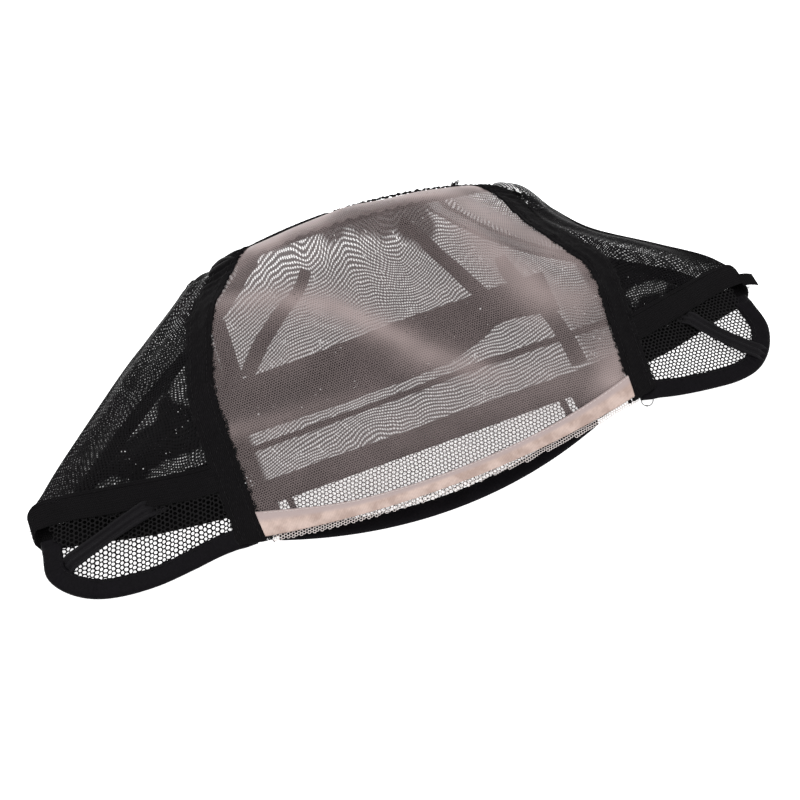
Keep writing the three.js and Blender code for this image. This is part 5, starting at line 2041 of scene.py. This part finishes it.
@dataclass
class EarTab:
    """An ear tab: coarse net with a folded tape round its edge and an adjusting strap laid on it."""

    room: Workroom
    side: Side
    pitch: float
    turn: float
    strap_ends: tuple[float, float, float, float]
    binding_wall: float = 2.0
    net_sink: float = 0.7
    strap_width: float = 7.0
    under_ribbon: float = 8.0
    under_band: float = 6.0
    bar_share: float = 0.29
    margin: float = 1.6
    pressed: float = 0.9
    solid: float = 0.6
    rings: int = 240
    strap_rows: int = 69
    strap_columns: int = 24

    def outline(self, margin: float) -> Array:
        """The net's outline in plan, running on by the margin under the binding, the band and the ribbon.

        Args:
            margin: how far it runs on.

        Returns:
            The corners, (n, 2).
        """
        lines, form, sign = self.room.lines, self.room.form, self.side.value
        shares = np.linspace(lines.tab_start(self.side), 1, 40)
        rim = lines.tab_edge(self.side, shares, lines.rim_binding - margin)
        rim = np.concatenate([rim, rim[-1:] + [[0.0, 4.0]]])
        outer, inner = np.abs(rim[-1, 0]), 0.48 * form.half
        x = np.linspace(outer, inner, 40)
        y = lines.band_y(x / form.flat_half(sign, 0.0)) + margin
        inner = lines.beside_lace(self.side, y, lines.seam_ribbon - margin)
        top = np.stack([sign * x, y], axis=-1)[x >= inner]
        down = np.linspace(top[-1, 1], rim[0, 1], 8)[1:-1]
        ribbon = np.stack([sign * lines.beside_lace(self.side, down, lines.seam_ribbon - margin), down],
                          axis=-1)
        return np.concatenate([rim, top, ribbon])

    def net(self) -> bpy.types.Object:
        """The coarse net, cell by cell.

        Returns:
            The piece.
        """
        plan, faces, raised = honeycomb(self.outline(self.margin), self.pitch, self.bar_share * self.pitch,
                                        self.turn, 101 + self.side.value, self.pressed)
        height = self.room.form.top_height(plan[:, 0], plan[:, 1]) - self.net_sink + 0.1 * raised
        height += 0.25 * ripple(plan[:, 0], plan[:, 1], 18, 103)
        piece = add_piece(f"net_{self.side.word}", np.column_stack([plan, height]), [faces],
                          self.room.finishes["net_thread"])
        return self.room.dress(thicken(piece, 0.3), "coarse_net", f"tab_net_{self.side.word}")

    def binding(self) -> bpy.types.Object:
        """The folded tape: its profile carried round the tab's edge, with small puckers.

        Returns:
            The piece.
        """
        lines, form = self.room.lines, self.room.form
        share = np.linspace(lines.tab_start(self.side), 1, self.rings)
        edge, inner = lines.tab_edge(self.side, share), lines.tab_edge(self.side, share, lines.rim_binding)
        reach = np.linspace(0, 1, 14)[1:, None]
        before = (edge[0] - edge[1]) / np.linalg.norm(edge[0] - edge[1]) * self.under_ribbon
        after = np.array([-0.1 * self.side.value, 1.0]) * self.under_band
        edge, inner = (np.concatenate([line[0] + before * reach[::-1], line, line[-1] + after * reach])
                       for line in (edge, inner))
        sunk = np.concatenate([smooth_step(reach[::-1, 0], 0, 0.5), share * 0, smooth_step(reach[:, 0], 0.2,
                                                                                           0.9)])
        share = np.concatenate([share[0] + reach[::-1, 0] * -0.05, share, 1 + reach[:, 0] * 0.05])
        profile = np.repeat(FOLDED_PROFILE[None], len(share), axis=0).copy()
        pucker = 1 + 0.09 * ripple(share * 100, share * 0, 2.6, 111)[:, None]
        profile[..., 1] *= self.binding_wall * pucker
        profile[..., 0] += 0.02 * ripple(share * 100, share * 0, 3.4,
                                         113)[:, None] * (FOLDED_PROFILE[:, 0] > 0.5)
        spots = edge[:, None] + (inner - edge)[:, None] * profile[..., :1]
        middle = form.top_height(spots[..., 0], spots[..., 1]) - self.binding_wall / 2 - 0.8 * sunk[:, None]
        height = middle + profile[..., 1] * (1 - 0.35 * sunk[:, None])
        points = np.concatenate([spots, np.maximum(height, 0.1)[..., None]], axis=-1)
        faces = ring_faces(len(share), len(FOLDED_PROFILE), self.side is Side.LEFT)
        piece = add_piece(f"binding_{self.side.word}", points, faces, self.room.finishes["folded_binding"],
                          lay_lengths(points))
        return self.room.dress(piece, "binding", f"tab_binding_{self.side.word}")

    def stitches(self) -> bpy.types.Object:
        """The row of stitches along the binding's inner edge.

        Returns:
            The piece.
        """
        lines, form = self.room.lines, self.room.form
        start = lines.tab_start(self.side)

        def path(share: Array, height: Array) -> Array:
            """The row's points.

            Args:
                share: shares of the row.
                height: heights above the cloth.

            Returns:
                The points.
            """
            plan = lines.tab_edge(self.side, lerp(start, 1, share), lines.rim_binding - 1.1)
            level = form.top_height(plan[..., 0], plan[..., 1]) - 0.12 + height
            return np.concatenate([plan, level[..., None]], axis=-1)

        length = line_length(path(np.linspace(0, 1, 60), np.zeros(60)))
        return self.room.stitches(f"binding_stitches_{self.side.word}", path, length, 2.5)

    def strap(self) -> bpy.types.Object:
        """The strap: folded elastic with lengthwise creases, its ends sewn in under the binding and the band.

        Returns:
            The piece.
        """
        form, lines, sign = self.room.form, self.room.lines, self.side.value
        out0, low0, out1, low1 = self.strap_ends
        top = form.depth_y(lines.tab_top)
        start = np.array([sign * out0 * form.half, top - low0 * lines.tab_depth])
        end = np.array([sign * out1 * form.half, top - low1 * lines.tab_depth])
        direction = unit(end - start)
        start, end = start - direction * 2.0, end + direction * 6.5
        side = np.array([-direction[1], direction[0]])
        share = np.linspace(0, 1, self.strap_rows + 1)[:, None]
        across = np.linspace(-0.5, 0.5, self.strap_columns + 1)[None, :]
        bow = 0.8 * np.sin(np.pi * share)
        width = self.strap_width * (1 - 0.12 * np.sin(np.pi * share))
        plan = start + (end - start) * share[..., None] + side * (across * width + bow)[..., None]
        creases = 0.45 * np.cos(across * 2 * np.pi * 2.5
                                + 0.5 * np.sin(share * 6)) - 1.4 * np.abs(across) ** 3
        dive = 1.3 * (1 - smooth_step(share, 0.0, 0.09)) + 2.0 * smooth_step(share, 0.82, 0.93)
        height = form.top_height(plan[..., 0], plan[..., 1]) + 0.75 + creases - dive
        points = np.concatenate([plan, height[..., None]], axis=-1)
        faces = grid_faces(self.strap_rows, self.strap_columns)
        normal = np.cross(points[1, 0] - points[0, 0], points[0, 1] - points[0, 0])[2]
        if normal > 0:
            faces = faces[:, ::-1]
        piece = add_piece(f"strap_{self.side.word}_sewn", points, [faces], self.room.finishes["strap_weave"],
                          lay_lengths(points))
        return self.room.dress(thicken(piece, 0.7), "strap", f"strap_{self.side.word}")

    def build(self) -> None:
        """Builds the tab: its net, binding, stitches and strap."""
        net = self.net()
        others = [self.binding(), self.stitches(), self.strap()]
        self.room.declare_net(net, self.outline(self.margin), self.solid, others)


@dataclass
class Nape:
    """The nape: coarse net on the table, its folded binding and its short end tapes."""

    room: Workroom
    pitch: float = 1.66
    binding_wall: float = 2.0
    end_tape: float = 4.0
    margin: float = 1.2
    bar_share: float = 0.2
    turn: float = 10.0
    solid: float = 0.5
    rings: int = 220

    def outline(self, margin: float) -> Array:
        """The nape net's outline in plan.

        Args:
            margin: how far it runs on under the tapes.

        Returns:
            The corners, (n, 2).
        """
        lines, form = self.room.lines, self.room.form
        half = lines.nape_half - self.end_tape + margin
        x = np.linspace(-half, half, 50)
        rim = np.stack([x, lines.nape_y(x) + lines.nape_binding - margin], axis=-1)
        girth = 3 - np.abs(x) / form.flat_half(x, 0.0)
        band = np.stack([x, lines.band_y(girth) + margin], axis=-1)[::-1]
        return np.concatenate([rim, band])

    def net(self) -> bpy.types.Object:
        """The coarse net on the table.

        Returns:
            The piece.
        """
        outline = self.outline(self.margin)
        plan, faces, raised = honeycomb(outline, self.pitch, self.bar_share * self.pitch, self.turn, 121)
        height = 0.75 + 0.1 * raised
        piece = add_piece("net_nape", np.column_stack([plan, height]), [faces],
                          self.room.finishes["net_thread"])
        self.room.dress(thicken(piece, 0.3), "coarse_net", "nape_net")
        self.room.declare_net(piece, outline, self.solid)
        return piece

    def binding(self) -> bpy.types.Object:
        """The folded tape along the nape rim.

        Returns:
            The piece.
        """
        lines = self.room.lines
        x = np.linspace(-lines.nape_half, lines.nape_half, self.rings)
        profile = FOLDED_PROFILE * [1.0, self.binding_wall]
        pucker = 1 + 0.08 * ripple(x, x * 0, 2.8, 131)[:, None]
        y = lines.nape_y(x)[:, None] + profile[:, 0] * lines.nape_binding
        z = self.binding_wall / 2 + profile[:, 1] * np.minimum(pucker, 1.0)
        points = np.stack([np.broadcast_to(x[:, None], y.shape), y, np.broadcast_to(z, y.shape)], axis=-1)
        piece = add_piece("binding_nape", points, ring_faces(len(x), len(profile)),
                          self.room.finishes["folded_binding"], lay_lengths(points))
        return self.room.dress(piece, "binding", "nape_binding")

    def stitches(self) -> bpy.types.Object:
        """The row of stitches along the nape binding.

        Returns:
            The piece.
        """
        lines = self.room.lines

        def path(share: Array, height: Array) -> Array:
            """The row's points.

            Args:
                share: shares of the row.
                height: heights above the cloth.

            Returns:
                The points.
            """
            x = lerp(-lines.nape_half, lines.nape_half, share)
            y = lines.nape_y(x) + lines.nape_binding - 1.0
            return np.stack([x, y, self.binding_wall - 0.1 + height], axis=-1)

        return self.room.stitches("nape_stitches", path, 2 * lines.nape_half * 1.04, 2.5)

    def end_tapes(self, side: Side) -> bpy.types.Object:
        """The short tape at the net's side.

        Args:
            side: the tape's side.

        Returns:
            The piece.
        """
        lines, form = self.room.lines, self.room.form
        share, across = np.linspace(0, 1, 24)[:, None], np.linspace(0, 1, 9)[None, :]
        x = side.value * (lines.nape_half - self.end_tape * (1 - across if side is Side.LEFT
                                                             else across)[:, ::-1])
        x = x + 0 * share
        low = lines.nape_y(x) + lines.nape_binding - 1
        high = lines.band_y(3 - np.abs(x) / form.flat_half(x, 0.0)) + 1
        y = lerp(low, high, share)
        z = 1.2 + 0.15 * np.cos(across * 2 * np.pi * 3) + 0 * share
        points = np.stack([x, y, z], axis=-1)
        faces = grid_faces(23, 8)
        if points[0, 1, 0] < points[0, 0, 0]:
            faces = faces[:, ::-1]
        piece = add_piece(f"end_tape_{side.word}", points, [faces], self.room.finishes["elastic_ribs"],
                          lay_lengths(points))
        return self.room.dress(thicken(piece, 0.8), "elastic", f"nape_end_tape_{side.word}")

    def corner(self, side: Side) -> bpy.types.Object:
        """The closed cloth between the nape's end tape and the seam ribbon.

        Args:
            side: the cloth's side.

        Returns:
            The piece.
        """
        lines, form, sign = self.room.lines, self.room.form, side.value
        across, along = np.linspace(0, 1, 13)[None, :], np.linspace(0, 1, 11)[:, None]
        y = form.rim_y + 18 + 0 * across
        inner, outer = lines.nape_half - 0.6, lines.beside_lace(side, y, 3.0)
        x = sign * lerp(inner, outer, across if side is Side.RIGHT else across[:, ::-1]) + 0 * along
        low = np.maximum(lines.hairline_y(x) + 3.5, lines.nape_y(lines.nape_half))
        high = lines.band_y(3 - np.minimum(np.abs(x) / form.flat_half(x, 0.0), 1.0)) + 1.0
        points = np.stack([x, lerp(low, high, along), 1.0 + 0.25 * ripple(x, along * 10, 8, 135)], axis=-1)
        piece = add_piece(f"nape_corner_{side.word}", points, [grid_faces(10, 12)],
                          self.room.finishes["seam_ribbon"],
                          lay_lengths(points))
        return self.room.dress(thicken(piece, 0.4), "seam_ribbon")

    def build(self) -> None:
        """Builds the nape."""
        self.net()
        self.binding()
        self.stitches()
        for side in Side:
            self.end_tapes(side)
            self.corner(side)


@dataclass
class CrownSeam:
    """The gathered seam along the crown: a puckered cord with a thin crinkled edge standing on it."""

    room: Workroom
    cord: float = 4.6
    gathers: int = 46
    seen_from: tuple[float, float] = (-22.0, 60.0)
    tuft_at: float = 0.905
    steps: int = 560
    sides: int = 20

    def build(self) -> None:
        """Builds the cord: an ellipse carried along the seam, pinched at each gather."""
        lines, form = self.room.lines, self.room.form
        share = np.linspace(0, 1, self.steps + 1)
        deep = (form.depth / 2 - float(form.rows["y"](1.0)) - lines.gap) / 2
        start = lines.lace_girth(Side.LEFT, np.array(1.0), lines.seam_ribbon)
        end = lines.lace_girth(Side.RIGHT, np.array(1.0), lines.seam_ribbon)
        middle = form.point(lerp(start, end, share), np.ones(self.steps + 1))
        middle += np.array([0, lines.gap + deep, 0])
        middle[:, 2] -= form.rows["fold"](1.0) / 2
        angle = np.linspace(0, 2 * np.pi, self.sides, endpoint=False)
        phase = 2 * np.pi * self.gathers * share + 1.3 * ripple(share * 100, share * 0, 16, 141)
        pinch = (0.86 + 0.14 * np.cos(phase))[:, None] * (1 + 0.03 * ripple(share[:, None] * 100, angle * 4,
                                                                            2.4, 143))
        across = np.broadcast_to(deep * np.cos(angle), pinch.shape) * np.minimum(1, pinch + 0.08)
        high = self.cord / 2 * np.sin(angle) * pinch
        points = middle[:, None] + np.stack([np.zeros_like(high), across, high], axis=-1)
        piece = add_piece("crown_gathers", points, ring_faces(self.steps + 1, self.sides),
                          self.room.finishes["elastic_ribs"], lay_lengths(points))
        self.room.dress(piece, "elastic", "crown_seam")
        self.crest_edge()

    def crest_edge(self) -> bpy.types.Object:
        """The seam's crinkled upper edge, where the lace turns down: a cord pinched into beads.

        Returns:
            The piece.
        """
        lines, form = self.room.lines, self.room.form
        azimuth, elevation = math.radians(self.seen_from[0]), math.radians(self.seen_from[1])
        upwards = np.array([-math.sin(azimuth) * math.sin(elevation), math.cos(azimuth) * math.sin(elevation),
                            math.cos(elevation)])
        share, place = np.linspace(0, 1, 420)[:, None], np.linspace(0.8, 1, 120)[None, :]
        start = lines.lace_girth(Side.LEFT, place, 1.0)
        end = lines.lace_girth(Side.RIGHT, place, 1.0)
        face = form.point(lerp(start, end, share), place + 0 * share)
        highest = np.argmax(face @ upwards, axis=1)
        path = face[np.arange(len(share)), highest]
        path = np.stack([np.convolve(np.pad(axis, 8, "edge"), np.ones(17) / 17, "valid") for axis in path.T],
                        axis=-1)
        share = share[:, 0]
        beads = 0.5 + 0.5 * ripple(share * 100, share * 0, 1.6, 151)
        beaded = smooth_step(share, 0.36, 0.42)
        radius = lerp(0.62 + 0.08 * beads, 0.26 + 0.42 * np.clip(beads, 0, 1), beaded)
        radius *= 1 - 0.85 * np.exp(-((share - 0.385) / 0.012) ** 2)
        path += upwards * (-0.25 + 0.25 * beaded * ripple(share * 100, share * 0, 2.3, 153))[:, None]
        points, faces = tubes(path[None], radius[None], 8)
        piece = add_piece("crown_crest_edge", points, [faces], self.room.finishes["black_thread"])
        self.net_tuft(path[int(self.tuft_at * (len(path) - 1))], upwards)
        return self.room.dress(piece, "elastic")

    def net_tuft(self, foot: Array, upwards: Array) -> bpy.types.Object:
        """A scrap of net caught in the seam, as loops that stand in a fan.

        Args:
            foot: where it stands.
            upwards: the way that it points.

        Returns:
            The piece.
        """
        random = np.random.default_rng(161)
        count = 34
        roots = foot + random.normal(scale=(1.0, 0.35, 0.2), size=(count, 3)) + upwards * 0.4
        outward = unit(upwards + random.normal(scale=(0.35, 0.2, 0.2), size=(count, 3)))
        along = unit(random.normal(size=(count, 3))) * random.uniform(0.8, 1.5, count)[:, None]
        return self.room.loops("crown_net_tuft", roots, outward, along, random.uniform(0.5, 1.6, count), 0.1)


@dataclass
class LooseThreads:
    """The thread loop at the hairline's right end and a few thread ends."""

    room: Workroom
    radius: float = 0.16
    steps: int = 40
    loop_at: Spot = (88.9, -51.4, 0.35)

    def build(self) -> None:
        """Builds the loop as a ring with crossing ends, and the ends as drooping threads."""
        turn, share = np.linspace(-2.3, 4.4, self.steps), np.linspace(0, 1, self.steps)
        size = 2.5 + 0.25 * np.sin(turn * 2)
        x, y, low = self.loop_at
        rise = low + 0.25 * (turn > 2.5) * (turn - 2.5)
        loop = np.stack([x + size * np.cos(turn), y + size * 0.9 * np.sin(turn), rise], axis=-1)
        ends = [
            np.stack([lerp(-71.5, -68.0, share), lerp(-48.5, -54.0, share**1.3), 3.4 - 2.6 * share], axis=-1),
            np.stack([lerp(84.0, 81.0, share), lerp(-47.5, -50.5, share**1.4), 4.4 - 3.4 * share], axis=-1),
        ]
        points, faces = tubes(np.stack([loop, *ends]), self.radius, 7)
        piece = add_piece("loose_threads", points, [faces], self.room.finishes["black_thread"])
        self.room.dress(piece, "seam_ribbon")


@dataclass
class Studio:
    """A plain pale table, soft light and the camera at the photograph's angle."""

    azimuth: float = -22.0
    elevation: float = 60.0
    distance: float = 500.0
    lens: float = 58.0
    target: Spot = (-4.0, -19.5, 10.0)

    def floor(self) -> None:
        """A wide pale table top just under the cap."""
        mesh = bpy.data.meshes.new("table_top")
        wide = 3.0
        mesh.from_pydata([(-wide, -wide, 0), (wide, -wide, 0), (wide, wide, 0), (-wide, wide, 0)], [],
                         [(0, 1, 2, 3)])
        material = bpy.data.materials.new("table_white")
        material.use_nodes = True
        shader = material.node_tree.nodes["Principled BSDF"]
        shader.inputs["Base Color"].default_value = opaque((0.9, 0.9, 0.9))
        shader.inputs["Roughness"].default_value = 0.9
        shader.inputs["Specular IOR Level"].default_value = 0.1
        shader.inputs["Emission Color"].default_value = opaque((1.0, 1.0, 1.0))
        shader.inputs["Emission Strength"].default_value = 0.85
        mesh.materials.append(material)
        table = bpy.data.objects.new("table_top", mesh)
        bpy.context.scene.collection.objects.link(table)

    def light(self, name: str, place: Spot, size: float, power: float) -> None:
        """A large soft lamp that looks at the cap.

        Args:
            name: the lamp's name.
            place: where it hangs, in metres.
            size: its width, in metres.
            power: its power, in watts.
        """
        lamp = bpy.data.lights.new(name, "AREA")
        lamp.size, lamp.energy = size, power
        holder = bpy.data.objects.new(name, lamp)
        holder.location = place
        holder.rotation_euler = (-Vector(place)).to_track_quat("-Z", "Y").to_euler()
        bpy.context.scene.collection.objects.link(holder)

    def camera(self) -> None:
        """The camera, on the ray from the target at its azimuth and elevation."""
        a, e = math.radians(self.azimuth), math.radians(self.elevation)
        back = Vector((math.sin(a) * math.cos(e), -math.cos(a) * math.cos(e), math.sin(e)))
        view = bpy.data.cameras.new("view")
        view.lens, view.sensor_width, view.clip_start = self.lens, 36.0, 0.01
        holder = bpy.data.objects.new("view", view)
        holder.location = (Vector(self.target) + back * self.distance) * MM
        holder.rotation_euler = (-back).to_track_quat("-Z", "Y").to_euler()
        bpy.context.scene.collection.objects.link(holder)
        bpy.context.scene.camera = holder

    def build(self) -> None:
        """Sets the stage."""
        self.camera()
        self.floor()
        self.light("key_soft_box", (-0.5, 0.6, 1.3), 0.9, 11.0)
        self.light("fill_soft_box", (0.7, -0.9, 1.1), 1.2, 6.0)
        world = bpy.data.worlds.new("studio_air")
        world.use_nodes = True
        world.node_tree.nodes["Background"].inputs["Color"].default_value = opaque((1.0, 1.0, 1.0))
        world.node_tree.nodes["Background"].inputs["Strength"].default_value = 0.75
        scene = bpy.context.scene
        scene.world = world
        scene.view_settings.view_transform = "Standard"


def main() -> None:
    """Builds the stage and the cap's pieces in order."""
    logging.basicConfig(level=logging.INFO, format="%(message)s")
    Studio().build()
    for make in (open_net, crossed_threads, loose_fibres):
        GROUPS[make.__name__] = make()
    form = LyingForm()
    room = Workroom(form, CutLines(form), {finish.name: finish.make() for finish in FINISHES})
    BackLayer(room).build()
    Nape(room).build()
    ElasticBand(room).build()
    SideMesh(room, Side.LEFT, bulge=2.4, bulge_at=0.78).build()
    SideMesh(room, Side.RIGHT, bulge=4.4, bulge_at=0.84).build()
    LaceFront(room).build()
    for side in Side:
        SeamRibbon(room, side).build()
    EarTab(room, Side.LEFT, pitch=1.83, turn=15.7, strap_ends=(0.932, 0.33, 0.717, 0.11)).build()
    EarTab(room, Side.RIGHT, pitch=1.7, turn=-4.0, strap_ends=(0.934, 0.76, 0.796, 0.09)).build()
    CrownSeam(room).build()
    LooseThreads(room).build()
    bpy.context.view_layer.update()


if __name__ == "__main__":
    main()
